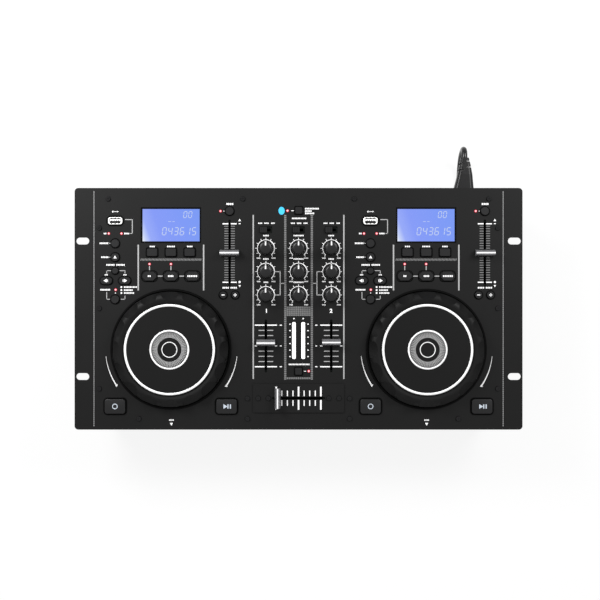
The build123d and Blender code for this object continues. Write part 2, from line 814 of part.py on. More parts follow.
# Boards with their standoffs, switches, controls and jog bearings
key_places = [(x, y) for caps in all_keys.values() for _, x, y, _, _ in caps]
with BuildPart() as circuit_boards:
    # Deck boards, pad boards and the mixer board
    with BuildSketch(Plane.XY.offset(board_bottom)):
        for deck_x in decks.values():
            with Locations((deck_x, (deck_board_front + deck_board_rear) / 2)):
                Rectangle(deck_board_width, deck_board_rear - deck_board_front)
            with Locations((deck_x, pad_row)):
                Rectangle(pad_board_width, pad_board_depth)
        Rectangle(mixer_board_width, mixer_board_depth)
    extrude(amount=board_thickness)
    # Standoffs up to the plate, two of them threaded for the screws beside the crossfader
    with BuildSketch(Plane.XY.offset(board_top)):
        for deck_x in decks.values():
            with Locations(*[(deck_x + x, y) for x, y in deck_standoffs]):
                Circle(standoff_radius)
            with Locations((deck_x - pad_standoff_x, pad_row), (deck_x + pad_standoff_x, pad_row)):
                Circle(standoff_radius)
        with Locations(*[(s * mixer_screw[0], y) for s in (-1, 1) for y in mixer_standoff_y]):
            Circle(mixer_standoff_radius)
        with Locations(*mixer_screws):
            Circle(screw_radius + shaft_gap, mode=Mode.SUBTRACT)
    extrude(amount=board_drop)
    # Key switches
    with BuildSketch(Plane.XY.offset(board_top)):
        with Locations(*key_places):
            Rectangle(switch_body, switch_body)
    extrude(amount=switch_height)
    # Controls below the knobs
    with BuildSketch(Plane.XY.offset(board_top)):
        with Locations(*[(n * channel_x, y) for n in (-1, 0, 1) for y in knob_rows]):
            Rectangle(pot_size, pot_size)
            Circle(knob_shaft_radius + shaft_gap, mode=Mode.SUBTRACT)
    extrude(amount=board_drop)
    # Fader and slide-switch bodies, open along the top for the lever
    with BuildSketch(Plane.XY.offset(board_top)):
        for x, y, travel in (
            [(deck_x + right_column, pitch_middle, pitch_travel) for deck_x in decks.values()]
            + [(s * channel_x, channel_middle, channel_travel) for s in (-1, 1)]
        ):
            with Locations((x, y)):
                Rectangle(fader_body_width, travel + carriage + 2 * fader_end)
                Rectangle(
                    fader_slot + 2 * slide_gap, travel + carriage + 2 * fader_play, mode=Mode.SUBTRACT
                )
        with Locations(*[(n * channel_x, switch_row) for n in (-1, 0, 1)]):
            Rectangle(switch_body_length, switch_body_width)
            Rectangle(
                switch_travel + lever_width + fader_play, fader_slot + 2 * slide_gap, mode=Mode.SUBTRACT
            )
    extrude(amount=board_drop)
    # Crossfader body, hung from its own plate
    with BuildSketch(Plane.XY.offset(board_top + cross_body_lift)):
        with Locations((0, cross_y)):
            Rectangle(cross_body_length, cross_body_width)
            Rectangle(
                cross_travel + carriage + 2 * fader_play, fader_slot + 2 * slide_gap, mode=Mode.SUBTRACT
            )
        with Locations(*cross_body_screws):
            Circle(screw_radius + shaft_gap, mode=Mode.SUBTRACT)
    extrude(amount=panel_top - board_top - cross_body_lift)
    # Jog bearings: a flange below the plate and a nose up to its face
    for deck_x in decks.values():
        for radius, low, high in (
            (jog_flange_radius, panel_bottom - jog_flange_thickness, panel_bottom),
            (jog_nose_radius, board_top, panel_top),
        ):
            with BuildSketch(Plane.XY.offset(low)):
                with Locations((deck_x, jog_y)):
                    Circle(radius)
                    Circle(jog_shaft_radius + shaft_gap, mode=Mode.SUBTRACT)
            extrude(amount=high - low)
    # Power board on the tub's floor, with its transformer, capacitors and heat sink
    power_low = tub_floor + power_board_lift
    with BuildSketch(Plane.XY.offset(power_low)):
        with Locations((0, power_board_y)):
            Rectangle(power_board_width, power_board_depth)
    extrude(amount=board_thickness)
    with BuildSketch(Plane.XY.offset(tub_floor)):
        with Locations((0, power_board_y)):
            with GridLocations(
                power_board_width - 2 * power_standoff_inset,
                power_board_depth - 2 * power_standoff_inset, 2, 2,
            ):
                Circle(standoff_radius)
    extrude(amount=power_board_lift)
    for (w, d, h), place in ((transformer_size, transformer_place), (heat_sink_size, heat_sink_place)):
        with BuildSketch(Plane.XY.offset(power_low + board_thickness)):
            with Locations(place):
                Rectangle(w, d)
        extrude(amount=h)
    with BuildSketch(Plane.XY.offset(power_low + board_thickness)):
        with Locations(*capacitor_places):
            Circle(capacitor_radius)
    extrude(amount=capacitor_height)
keep(circuit_boards.part, "circuit_boards")

# Disc drives: a slotted box on four legs, with a well for the spindle
with BuildPart() as disc_drives:
    for deck_x in decks.values():
        with BuildSketch(Plane.XY.offset(drive_bottom)):
            with Locations((deck_x, drive_front + drive_depth / 2)):
                Rectangle(drive_width, drive_depth)
        extrude(amount=drive_height)
        with BuildSketch(Plane.XY.offset(slot_z - disc_slot_height / 2)):
            with Locations((deck_x, drive_front + disc_bay_depth / 2)):
                Rectangle(disc_slot_width, disc_bay_depth)
        extrude(amount=disc_slot_height, mode=Mode.SUBTRACT)
        with BuildSketch(Plane.XY.offset(slot_z - disc_slot_height / 2)):
            with Locations((deck_x, spindle_y)):
                Circle(spindle_well_radius)
        extrude(amount=-spindle_well_depth, mode=Mode.SUBTRACT)
        with BuildSketch(Plane.XY.offset(drive_bottom + drive_wall)):
            with Locations((deck_x, spindle_y)):
                Circle(spindle_shaft_radius + shaft_gap)
        extrude(amount=disc_slot_above, mode=Mode.SUBTRACT)
        with BuildSketch(Plane.XY.offset(tub_floor)):
            with Locations(*[(deck_x + s * leg_x, y) for s in (-1, 1) for y in leg_y]):
                Circle(drive_leg_radius)
        extrude(amount=drive_lift)
keep(disc_drives.part, "disc_drives")

# Disc spindles: hub and boss on a shaft in the drive's bearing
well_floor = slot_z - disc_slot_height / 2 - spindle_well_depth
for side, deck_x in decks.items():
    with BuildPart() as spindle:
        for radius, low, high in (
            (spindle_shaft_radius, drive_bottom + drive_wall + seat_gap, well_floor + seat_gap),
            (spindle_hub_radius, well_floor + seat_gap, well_floor + seat_gap + spindle_hub_height),
            (spindle_boss_radius, well_floor + seat_gap, well_floor + spindle_well_depth),
        ):
            with BuildSketch(Plane.XY.offset(low)):
                with Locations((deck_x, spindle_y)):
                    Circle(radius)
            extrude(amount=high - low)
    keep(spindle.part, f"disc_spindle_{side}")

# Slot bezels: a rounded plate on the front wall and a sleeve through it to the drive
with BuildPart() as slot_bezels:
    with BuildSketch(Plane.XZ.offset(-tub_front)):
        with Locations(*[(x, slot_z) for x in decks.values()]):
            RectangleRounded(slot_bezel_width, slot_bezel_height, slot_bezel_corner)
    extrude(amount=slot_bezel_thickness)
    fillet(slot_bezels.edges().group_by(Axis.Y)[0], slot_bezel_edge)
    with BuildSketch(Plane.XZ.offset(-tub_front)):
        with Locations(*[(x, slot_z) for x in decks.values()]):
            Rectangle(disc_slot_width + 2 * slot_sleeve_wall, disc_slot_height + 2 * slot_sleeve_wall)
    extrude(amount=-sheet)
    with BuildSketch(Plane.XZ.offset(-tub_front - sheet)):
        with Locations(*[(x, slot_z) for x in decks.values()]):
            RectangleRounded(disc_slot_width, disc_slot_height, slot_mouth_corner)
    extrude(amount=sheet + slot_bezel_thickness, mode=Mode.SUBTRACT)
keep(slot_bezels.part, "slot_bezels")

# Rear plate behind the tub's window
phono_places = [(x, socket_height + s * phono_rise) for x in phono_x for s in (-1, 1)]
with BuildPart() as rear_plate:
    with BuildSketch(Plane.XZ.offset(-plate_face)):
        with Locations((0, rear_plate_middle)):
            Rectangle(rear_plate_width, rear_plate_height)
        with Locations(*phono_places):
            Circle(phono_barrel_radius + pocket_gap, mode=Mode.SUBTRACT)
        with Locations((inlet_x, socket_height)):
            Rectangle(
                inlet_body[0] + 2 * pocket_gap, inlet_body[1] + 2 * pocket_gap, mode=Mode.SUBTRACT
            )
        with Locations((rocker_x, socket_height)):
            Rectangle(
                rocker_frame[0] - 2 * rocker_lip, rocker_frame[1] - 2 * rocker_lip, mode=Mode.SUBTRACT
            )
    extrude(amount=sheet)
keep(rear_plate.part, "rear_plate")

# Sockets: phono pairs, two jacks, two data ports, the mains inlet and the rocker's frame
rocker_body = tuple(size - 2 * rocker_lip - 2 * pocket_gap for size in rocker_frame[:2])
rocker_bay = (rocker_size[0] + 2 * pocket_gap, rocker_size[1] + 2 * pocket_gap)
rocker_pivot = plate_face - rocker_depth / 3
pin_reach = rocker_size[0] / 2 + rocker_pin_bite
inlet_face = plate_face + inlet_flange[2]
with BuildPart() as sockets:
    # Phono sockets: a block behind the plate and a hollow barrel through it
    with BuildSketch(Plane.XZ.offset(sheet - plate_face)):
        with Locations(*[(x, socket_height) for x in phono_x]):
            Rectangle(phono_body[0], phono_body[2])
    extrude(amount=phono_body[1])
    with BuildSketch(Plane.XZ.offset(sheet - plate_face)):
        with Locations(*phono_places):
            Circle(phono_barrel_radius)
    extrude(amount=-sheet - phono_barrel_length)
    with BuildSketch(Plane.XZ.offset(-plate_face - phono_barrel_length)):
        with Locations(*phono_places):
            Circle(phono_bore_radius)
    extrude(amount=phono_barrel_length, mode=Mode.SUBTRACT)
    # Jacks in the front wall
    with BuildSketch(Plane.XZ.offset(-tub_front - sheet)):
        with Locations(*[(x, socket_height) for x in jack_x]):
            Rectangle(jack_body[0], jack_body[2])
    extrude(amount=-jack_body[1])
    with BuildSketch(Plane.XZ.offset(-tub_front - sheet)):
        with Locations(*[(x, socket_height) for x in jack_x]):
            Circle(jack_collar_radius)
    extrude(amount=sheet + jack_collar_length)
    with BuildSketch(Plane.XZ.offset(-tub_front + jack_collar_length)):
        with Locations(*[(x, socket_height) for x in jack_x]):
            Circle(jack_radius)
    extrude(amount=-jack_body[1], mode=Mode.SUBTRACT)
    # Data ports in the plate: a collar, a shell with its tongue, and the cavity between
    port_places = [(x + left_column, usb_row) for x in decks.values()]
    with BuildSketch(Plane.XY.offset(board_top)):
        with Locations(*port_places):
            RectangleRounded(usb_width - 2 * lamp_gap, usb_depth - 2 * lamp_gap, usb_corner)
    extrude(amount=board_drop + panel_thickness + window_rise)
    with BuildSketch(Plane.XY.offset(panel_top)):
        with Locations(*port_places):
            RectangleRounded(usb_shell_width, usb_shell_depth, usb_corner)
    extrude(amount=2 * window_rise)
    with BuildSketch(Plane.XY.offset(panel_top + 2 * window_rise)):
        with Locations(*port_places):
            Rectangle(usb_cavity_width, usb_cavity_depth)
            with Locations((0, -usb_cavity_depth / 6)):
                Rectangle(
                    usb_cavity_width - 2 * usb_tongue_margin, usb_cavity_depth / 3, mode=Mode.SUBTRACT
                )
    extrude(amount=-usb_cavity_length, mode=Mode.SUBTRACT)
    # Mains inlet: a flange on the plate, a body behind it, the mouth and its three pins
    with BuildSketch(Plane.XZ.offset(-inlet_face)):
        with Locations((inlet_x, socket_height)):
            RectangleRounded(inlet_flange[0], inlet_flange[1], inlet_corner)
    extrude(amount=inlet_flange[2])
    with BuildSketch(Plane.XZ.offset(-plate_face)):
        with Locations((inlet_x, socket_height)):
            Rectangle(inlet_body[0], inlet_body[1])
    extrude(amount=inlet_body[2])
    with BuildSketch(Plane.XZ.offset(-inlet_face)):
        with Locations((inlet_x, socket_height)):
            Rectangle(inlet_mouth[0], inlet_mouth[1])
    extrude(amount=inlet_mouth[2], mode=Mode.SUBTRACT)
    pin_places = [
        (inlet_x + n * inlet_pin_x, socket_height + (inlet_pin_rise if n == 0 else -inlet_pin_rise))
        for n in (-1, 0, 1)
    ]
    with BuildSketch(Plane.XZ.offset(inlet_mouth[2] - inlet_face)):
        with Locations(*pin_places):
            Rectangle(inlet_pin[0], inlet_pin[1])
    extrude(amount=-inlet_pin[2])
    # Frame of the power rocker, with a bay and a blind hole each side for its pin
    with BuildSketch(Plane.XZ.offset(-plate_face - rocker_frame[2])):
        with Locations((rocker_x, socket_height)):
            RectangleRounded(rocker_frame[0], rocker_frame[1], rocker_frame_corner)
    extrude(amount=rocker_frame[2])
    with BuildSketch(Plane.XZ.offset(-plate_face)):
        with Locations((rocker_x, socket_height)):
            Rectangle(*rocker_body)
    extrude(amount=rocker_depth + rocker_floor)
    with BuildSketch(Plane.XZ.offset(-plate_face - rocker_frame[2])):
        with Locations((rocker_x, socket_height)):
            Rectangle(*rocker_bay)
    extrude(amount=rocker_frame[2] + rocker_depth, mode=Mode.SUBTRACT)
    with BuildSketch(Plane.YZ.offset(rocker_x)):
        with Locations((rocker_pivot, socket_height)):
            Circle(rocker_pin_radius + shaft_gap)
    extrude(amount=pin_reach + pocket_gap, both=True, mode=Mode.SUBTRACT)
keep(sockets.part, "sockets")

# Power rocker, tipped to its on side
lean = radians(rocker_angle)
rocker_plane = Plane(
    origin=(rocker_x, rocker_pivot, socket_height), x_dir=(0, cos(lean), sin(lean)), z_dir=(1, 0, 0)
)
rocker_half = rocker_size[1] / 2 - rocker_side
tail_back, tail_half = rocker_tail[0], rocker_tail[1] * rocker_half
rocker_front = plate_face + rocker_frame[2] + rocker_proud - rocker_pivot
with BuildPart() as power_rocker:
    with BuildSketch(rocker_plane):
        Polygon(
            (-tail_back, -tail_half), (rocker_front - rocker_land, -rocker_half),
            (rocker_front, -rocker_half), (rocker_front - rocker_dip, 0), (rocker_front, rocker_half),
            (rocker_front - rocker_land, rocker_half), (-tail_back, tail_half), align=None,
        )
    extrude(amount=rocker_size[0] / 2, both=True)
    with BuildSketch(rocker_plane):
        Circle(rocker_pin_radius)
    extrude(amount=pin_reach, both=True)
keep(power_rocker.part, "power_rocker")

# Mains connector: its front in the inlet, a tapering grip and a slotted strain relief
grip_base = inlet_face + seat_gap
with BuildPart() as iec_connector:
    with BuildSketch(Plane.XZ.offset(-grip_base)):
        with Locations((inlet_x, socket_height)):
            Rectangle(plug_front[0], plug_front[1])
        with Locations(*pin_places):
            Rectangle(inlet_pin[0] + 2 * pocket_gap, inlet_pin[1] + 2 * pocket_gap, mode=Mode.SUBTRACT)
    extrude(amount=plug_front[2])
    for distance, w, h, shift in connector_taper:
        with BuildSketch(Plane.XZ.offset(-grip_base - distance)):
            with Locations((inlet_x + shift, socket_height)):
                RectangleRounded(w, h, connector_round * min(w, h))
    loft(ruled=True)
    for n in range(relief_slot_count):
        side = 1 if n % 2 else -1
        y = grip_base + relief_slot_start + n * relief_slot_step
        x = inlet_x + connector_taper[-1][3] + side * (cord_diameter / 4 + relief_cut / 2)
        with Locations((x, y, socket_height)):
            Box(relief_cut, relief_slot, connector_taper[0][2], mode=Mode.SUBTRACT)
keep(iec_connector.part, "iec_connector")


def bend_radii(points):
    """Give each corner an arc as large as its two runs allow."""
    radii = []
    for a, b, c in zip(points, points[1:], points[2:]):
        before, after = Vector(*b) - Vector(*a), Vector(*c) - Vector(*b)
        run = min(before.length, after.length)
        radii.append(bend_share * run / tan(radians(before.get_angle(after) / 2)))
    return radii


# Mains lead: down behind the tub and in under it, then on from the hank to the mains plug
cord_z = cord_diameter / 2
cord_x = inlet_x + connector_taper[-1][3]
relief_end = grip_base + connector_taper[-1][0]
hank_start = hank_x + hank_run / 2 + cord_diameter
hank_end = hank_x - hank_run / 2 - cord_diameter
hank_top = cord_z + layer_pitch
plug_x, plug_y = mains_plug_start
plug_z = mains_plug_size[2] / 2
lead_routes = (
    [
        (cord_x, relief_end, socket_height),
        (cord_x, relief_end + 3.6, socket_height),
        (cord_x + 0.1, relief_end + 7.4, socket_height - 2.1),
        (cord_x + 0.2, relief_end + 10.0, socket_height - 6.6),
        (cord_x + 0.3, relief_end + 11.2, socket_height - 15.4),
        (cord_x + 0.2, 173.2, 20.5),
        (cord_x + 0.1, 163.6, 9.4),
        (cord_x, 150.0, cord_z),
        (cord_x - 2.0, 123.0, cord_z),
        (cord_x - 12.0, 98.0, cord_z),
        (cord_x - 30.0, 79.0, cord_z),
        (cord_x - 54.0, 66.0, cord_z),
        (cord_x - 79.0, 56.5, cord_z),
        (hank_start + 21.0, hank_lane_y, cord_z),
        (hank_start, hank_lane_y, cord_z),
    ],
    [
        (hank_end, hank_lane_y, hank_top),
        (hank_end - 13.0, hank_lane_y, hank_top),
        (hank_end - 32.0, hank_lane_y - 1.0, cord_z + 2.0),
        (hank_end - 51.0, hank_lane_y - 3.4, cord_z),
        (hank_end - 67.0, hank_lane_y - 4.6, cord_z + 1.4),
        (plug_x + 12.0, plug_y, plug_z),
        (plug_x, plug_y, plug_z),
    ],
)
lead_length = 0.0
with BuildPart() as mains_lead:
    for points in lead_routes:
        radii = bend_radii(points)
        print("lead bends", [round(r, 1) for r in radii])
        with BuildLine() as route:
            FilletPolyline(*points, radius=radii)
        with BuildSketch(Plane(origin=points[0], z_dir=Vector(*points[1]) - Vector(*points[0]))):
            Circle(cord_diameter / 2)
        sweep(path=route.wires()[0])
        lead_length += route.wires()[0].length
keep(mains_lead.part, "mains_lead")
section = pi * cord_diameter**2 / 4
print("lead volume against section times length", mains_lead.part.volume / (section * lead_length))


class Trail:
    """A path of straight runs and arcs, laid like a turtle's, with points kept along it."""

    def __init__(self, start, heading):
        self.at = Vector(*start)
        self.heading = heading
        self.samples = [start]

    def run(self, length, rise=0.0):
        """Go straight on, with a rise made by two arcs in the upright plane."""
        ahead = Vector(cos(radians(self.heading)), sin(radians(self.heading)), 0)
        if not rise:
            Line(self.at, self.at + ahead * length)
            self.note(lambda t: self.at + ahead * (length * t), length)
            self.at += ahead * length
            return
        steep = 2 * atan(rise / length)
        bend = length / (2 * sin(steep))
        start = self.at

        def climb(t):
            half = t if t <= 0.5 else 1 - t
            along = 2 * half * steep
            out, up = bend * sin(along), bend * (1 - cos(along))
            if t > 0.5:
                out, up = length - out, rise - up
            return start + ahead * out + Vector(0, 0, up)

        ThreePointArc(start, climb(0.25), climb(0.5))
        ThreePointArc(climb(0.5), climb(0.75), climb(1.0))
        self.note(climb, length)
        self.at = climb(1.0)

    def turn(self, radius, angle):
        """Turn to the left by an angle, or to the right if it is negative."""
        side = 1 if angle > 0 else -1
        left = radians(self.heading + 90 * side)
        centre = self.at + Vector(cos(left), sin(left), 0) * radius

        def along(t):
            bearing = left + pi + radians(angle) * t
            return centre + Vector(cos(bearing), sin(bearing), 0) * radius

        ThreePointArc(self.at, along(0.5), along(1.0))
        self.note(along, radius * radians(abs(angle)))
        self.at = along(1.0)
        self.heading += angle

    def note(self, place, length):
        steps = max(2, round(length / trail_step))
        self.samples += [tuple(place(n / steps)) for n in range(1, steps + 1)]


# Hank: the rest of the lead in two layers of loops, drawn in at the waist
waist_angle = degrees(acos(1 - hank_draw / (2 * hank_waist_radius)))
waist_reach = 2 * hank_waist_radius * sin(radians(waist_angle))
shoulder = (hank_run - 2 * waist_reach - hank_waist_run) / 2
loop_radii = [hank_inner_radius + n * lane_pitch / 2 for n in range(hank_half_turns)]
inwards = loop_radii[::-1]
with BuildPart() as mains_lead_hank:
    with BuildLine() as route:
        trail = Trail((hank_start, hank_lane_y, cord_z), 180)
        trail.run(cord_diameter)
        for n, radius in enumerate([*inwards, *loop_radii, None]):
            trail.run(shoulder)
            trail.turn(hank_waist_radius, waist_angle)
            trail.turn(hank_waist_radius, -waist_angle)
            trail.run(hank_waist_run, layer_pitch if n == hank_half_turns else 0.0)
            trail.turn(hank_waist_radius, -waist_angle)
            trail.turn(hank_waist_radius, waist_angle)
            trail.run(shoulder)
            if radius:
                trail.turn(radius, 180)
        trail.run(cord_diameter)
    with BuildSketch(Plane(origin=(hank_start, hank_lane_y, cord_z), z_dir=(-1, 0, 0))):
        Circle(cord_diameter / 2)
    sweep(path=route.wires()[0])
keep(mains_lead_hank.part, "mains_lead_hank")
hank_length = route.wires()[0].length
apart = round(5 * cord_diameter / trail_step)
least = min(
    dist(a, b) for n, a in enumerate(trail.samples) for b in trail.samples[n + apart:]
)
print("hank least gap", least - cord_diameter, "shoulder", shoulder, "radii", inwards)
print("hank volume against section times length", mains_lead_hank.part.volume / (section * hank_length))
print("lead length in all", lead_length + hank_length)

# Mains plug on the floor below the tub: strain relief, body, two blades and the earth pin
body_start = plug_x - mains_plug_relief
body_end = body_start - mains_plug_size[0]
blade_z = plug_z + blade_lift
with BuildPart() as mains_plug:
    for x, radius in ((plug_x, cord_diameter / 2 + relief_wall), (body_start, plug_z - plug_neck_inset)):
        with BuildSketch(Plane.YZ.offset(x)):
            with Locations((plug_y, plug_z)):
                Circle(radius)
    loft(ruled=True)
    with BuildSketch(Plane.YZ.offset(body_end)):
        with Locations((plug_y, plug_z)):
            RectangleRounded(mains_plug_size[1], mains_plug_size[2], plug_corner)
    extrude(amount=mains_plug_size[0])
    chamfer(mains_plug.faces().filter_by(Axis.X).sort_by(Axis.X)[-2].outer_wire().edges(), plug_edge)
    with BuildSketch(Plane.YZ.offset(body_end)):
        with Locations(*[(plug_y + s * blade_spacing / 2, blade_z) for s in (-1, 1)]):
            Rectangle(blade[1], blade[2])
    extrude(amount=-blade[0])
    with BuildSketch(Plane.YZ.offset(body_end)):
        with Locations((plug_y, blade_z - earth_pin_below)):
            Circle(earth_pin_radius)
    extrude(amount=-earth_pin_length)
keep(mains_plug.part, "mains_plug")
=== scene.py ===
from math import atan2, cos, degrees, radians, sin, tan

import bpy
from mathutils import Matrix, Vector


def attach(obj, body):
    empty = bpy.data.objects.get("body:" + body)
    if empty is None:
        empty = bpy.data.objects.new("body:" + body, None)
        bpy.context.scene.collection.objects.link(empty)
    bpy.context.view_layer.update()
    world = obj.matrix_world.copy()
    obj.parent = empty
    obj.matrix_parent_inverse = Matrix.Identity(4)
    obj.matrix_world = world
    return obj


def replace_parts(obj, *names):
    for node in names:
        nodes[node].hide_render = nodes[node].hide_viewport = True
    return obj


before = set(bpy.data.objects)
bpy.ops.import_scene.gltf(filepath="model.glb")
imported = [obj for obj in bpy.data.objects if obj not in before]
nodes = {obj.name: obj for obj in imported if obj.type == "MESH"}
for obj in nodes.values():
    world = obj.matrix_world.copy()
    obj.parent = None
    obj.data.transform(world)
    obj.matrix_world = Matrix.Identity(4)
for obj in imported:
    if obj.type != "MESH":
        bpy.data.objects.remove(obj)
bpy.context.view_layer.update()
mm = 0.001

# Camera: straight above the plate and 1.4 m over it, with a long lens, at the photograph's angle
# and a little off the plate's middle, as the photograph is framed.
camera_data = bpy.data.cameras.new("camera")
camera_data.lens = 78
camera = bpy.data.objects.new("camera", camera_data)
bpy.context.collection.objects.link(camera)
camera_height = 1.4866
camera.location = (1.56 * mm, 9.48 * mm, camera_height)
bpy.context.scene.camera = camera
bpy.context.scene.view_settings.view_transform = "Standard"


# Floor: white seamless paper. The camera sees it nearly white by itself, and it keeps a soft
# shadow of the tub and the plate.
def hex_colour(code):
    """The linear colour, with alpha 1, of an sRGB hex code."""
    parts = [int(code[n:n + 2], 16) / 255 for n in (0, 2, 4)]
    return (*[c / 12.92 if c <= 0.04045 else ((c + 0.055) / 1.055) ** 2.4 for c in parts], 1.0)


def add_node(owner, kind, sockets=None, **settings):
    """Add a node to a material or world. sockets maps an input to a value or to another output."""
    node = owner.node_tree.nodes.new(kind)
    for name, value in settings.items():
        setattr(node, name, value)
    for socket, value in (sockets or {}).items():
        if isinstance(value, bpy.types.NodeSocket):
            owner.node_tree.links.new(value, node.inputs[socket])
        else:
            node.inputs[socket].default_value = value
    return node


def new_material(name):
    """An empty material that is named after what the piece is made of."""
    material = bpy.data.materials.new(name)
    material.use_nodes = True
    material.node_tree.nodes.clear()
    return material


def seen_directly(owner):
    """1 on camera, glossy and transmission rays, and 0 on the rays that light the object."""
    path = add_node(owner, "ShaderNodeLightPath")
    either = add_node(
        owner, "ShaderNodeMath",
        {0: path.outputs["Is Camera Ray"], 1: path.outputs["Is Glossy Ray"]}, operation="MAXIMUM",
    )
    return add_node(
        owner, "ShaderNodeMath",
        {0: either.outputs[0], 1: path.outputs["Is Transmission Ray"]}, operation="MAXIMUM",
    ).outputs[0]


paper = new_material("white seamless paper")
matte = add_node(paper, "ShaderNodeBsdfDiffuse", {"Color": hex_colour("f4f4f4"), "Roughness": 0.6})
glow = add_node(paper, "ShaderNodeEmission", {"Color": hex_colour("ffffff"), "Strength": 1.0})
# Most of the paper's white is its own, and the lamps and the shadow make up the rest
own_light = 0.87
share = add_node(
    paper, "ShaderNodeMath", {0: seen_directly(paper), 1: own_light}, operation="MULTIPLY"
)
mixed = add_node(
    paper, "ShaderNodeMixShader",
    {0: share.outputs[0], 1: matte.outputs[0], 2: glow.outputs[0]},
)
add_node(paper, "ShaderNodeOutputMaterial", {"Surface": mixed.outputs[0]})
bpy.ops.object.select_all(action="DESELECT")
floor_size, floor_gap = 12, 0.2 * mm
bpy.ops.mesh.primitive_plane_add(size=floor_size, location=(0, 0, -floor_gap))
floor = bpy.context.object
floor.name = "floor"
floor.data.materials.append(paper)

# Studio light: a pale world all round and two large soft lamps behind, the left one a little
# stronger, which leave the shadow below the front edge.
world = bpy.data.worlds.new("studio")
bpy.context.scene.world = world
world.use_nodes = True
world.node_tree.nodes.clear()
strength = add_node(
    world, "ShaderNodeMapRange", {"Value": seen_directly(world), "To Min": 0.5, "To Max": 1.0}
)
background = add_node(
    world, "ShaderNodeBackground",
    {"Color": hex_colour("ffffff"), "Strength": strength.outputs[0]},
)
add_node(world, "ShaderNodeOutputWorld", {"Surface": background.outputs[0]})
lamp_size, aim = 0.4, Vector((0, 0, 0.08))
for name, place, power in (
    ("soft_lamp_left", (-0.55, 0.48, 0.72), 9.5), ("soft_lamp_right", (0.68, 0.5, 0.85), 8.5),
):
    lamp_data = bpy.data.lights.new(name, "AREA")
    lamp_data.size = lamp_size
    lamp_data.energy = power
    lamp = bpy.data.objects.new(name, lamp_data)
    bpy.context.collection.objects.link(lamp)
    lamp.location = place
    lamp.rotation_euler = (aim - Vector(place)).to_track_quat("-Z", "Y").to_euler()

# Mains lead: 1.8 m of round PVC flex. It drops behind the tub and runs in under it, where the rest
# is put away in a hank of two layers, drawn in at the waist, with the plug beside it.
cord_radius = 3.25 * mm
lead_start = (183.4, 166.5, 50.0)
lead_in = (
    lead_start, (183.4, 170.1, 50.0), (183.5, 173.9, 47.9), (183.6, 176.5, 43.4),
    (183.7, 177.7, 34.6), (183.6, 173.2, 20.5), (183.5, 163.6, 9.4), (183.4, 150.0, 3.25),
    (181.4, 123.0, 3.25), (171.4, 98.0, 3.25), (153.4, 79.0, 3.25), (129.4, 66.0, 3.25),
    (104.4, 56.5, 3.25), (81.75, 50.0, 3.25), (60.75, 50.0, 3.25),
)
lead_out = (
    (-44.75, 50.0, 10.2), (-57.75, 50.0, 10.2), (-76.75, 49.0, 5.25), (-95.75, 46.6, 3.25),
    (-111.75, 45.4, 4.65), (-128.0, 46.0, 9.7), (-140.0, 46.0, 9.7),
)
# The upper layer lies just over one cord's thickness above the lower. Each run is drawn in to the
# waist and out again by bends of one radius, and each end folds back in six steps.
layer_rise = 6.95
shoulder, waist_bend, waist_turn, waist_length = 3.6, 35.0, 23.9, 28.6
fold_turn, fold_count = 30, 6
loop_radii = (30.9, 27.1, 23.3, 19.5, 19.5, 23.3, 27.1, 30.9, None)
lead_points = [Vector(p) for p in lead_in]
heading = 180.0


def lead_step(length, turn, rise=0.0):
    """Put the next point of the hank ahead, then turn to the left by an angle."""
    global heading
    ahead = Vector((cos(radians(heading)), sin(radians(heading)), 0))
    lead_points.append(lead_points[-1] + ahead * length + Vector((0, 0, rise)))
    heading += turn


waist_side = waist_bend * tan(radians(waist_turn / 2))
after_turn = 6.5
for run, radius in enumerate(loop_radii):
    lead_step(after_turn + shoulder + waist_side, waist_turn)
    lead_step(2 * waist_side, -waist_turn)
    lead_step(2 * waist_side + waist_length, -waist_turn, layer_rise if run == 4 else 0.0)
    lead_step(2 * waist_side, waist_turn)
    if radius:
        fold_side = radius * tan(radians(fold_turn / 2))
        lead_step(waist_side + shoulder + fold_side, fold_turn)
        for fold in range(fold_count - 1):
            lead_step(2 * fold_side, fold_turn)
        after_turn = fold_side
lead_points += [Vector(p) for p in lead_out]
lead_curve = bpy.data.curves.new("mains_cord", "CURVE")
lead_curve.dimensions = "3D"
lead_line = lead_curve.splines.new("NURBS")
lead_line.points.add(len(lead_points) - 1)
for point, place in zip(lead_line.points, lead_points):
    point.co = (*(place * mm), 1)
lead_line.order_u = 3
lead_line.use_endpoint_u = True
lead_line.resolution_u = 8
lead_curve.bevel_depth = cord_radius
lead_curve.bevel_resolution = 3
lead_curve.use_fill_caps = True
mains_cord = bpy.data.objects.new("mains_cord", lead_curve)
bpy.context.collection.objects.link(mains_cord)
# Extruded PVC: satin black, with a slight ripple of the wires inside along its length
flex_pvc = new_material("extruded black PVC")
place = add_node(flex_pvc, "ShaderNodeTexCoord")
ripple = add_node(
    flex_pvc, "ShaderNodeTexNoise",
    {"Vector": place.outputs["Object"], "Scale": 260.0, "Detail": 3.0},
)
relief = add_node(
    flex_pvc, "ShaderNodeBump", {"Height": ripple.outputs[0], "Strength": 0.25, "Distance": 0.0002}
)
shader = add_node(
    flex_pvc, "ShaderNodeBsdfPrincipled",
    {
        "Base Color": hex_colour("0a0a0b"), "Roughness": 0.22, "Specular IOR Level": 0.3,
        "Normal": relief.outputs[0],
    },
)
add_node(flex_pvc, "ShaderNodeOutputMaterial", {"Surface": shader.outputs[0]})
lead_curve.materials.append(flex_pvc)
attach(mains_cord, "console")
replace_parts(mains_cord, "mains_lead", "mains_lead_hank")


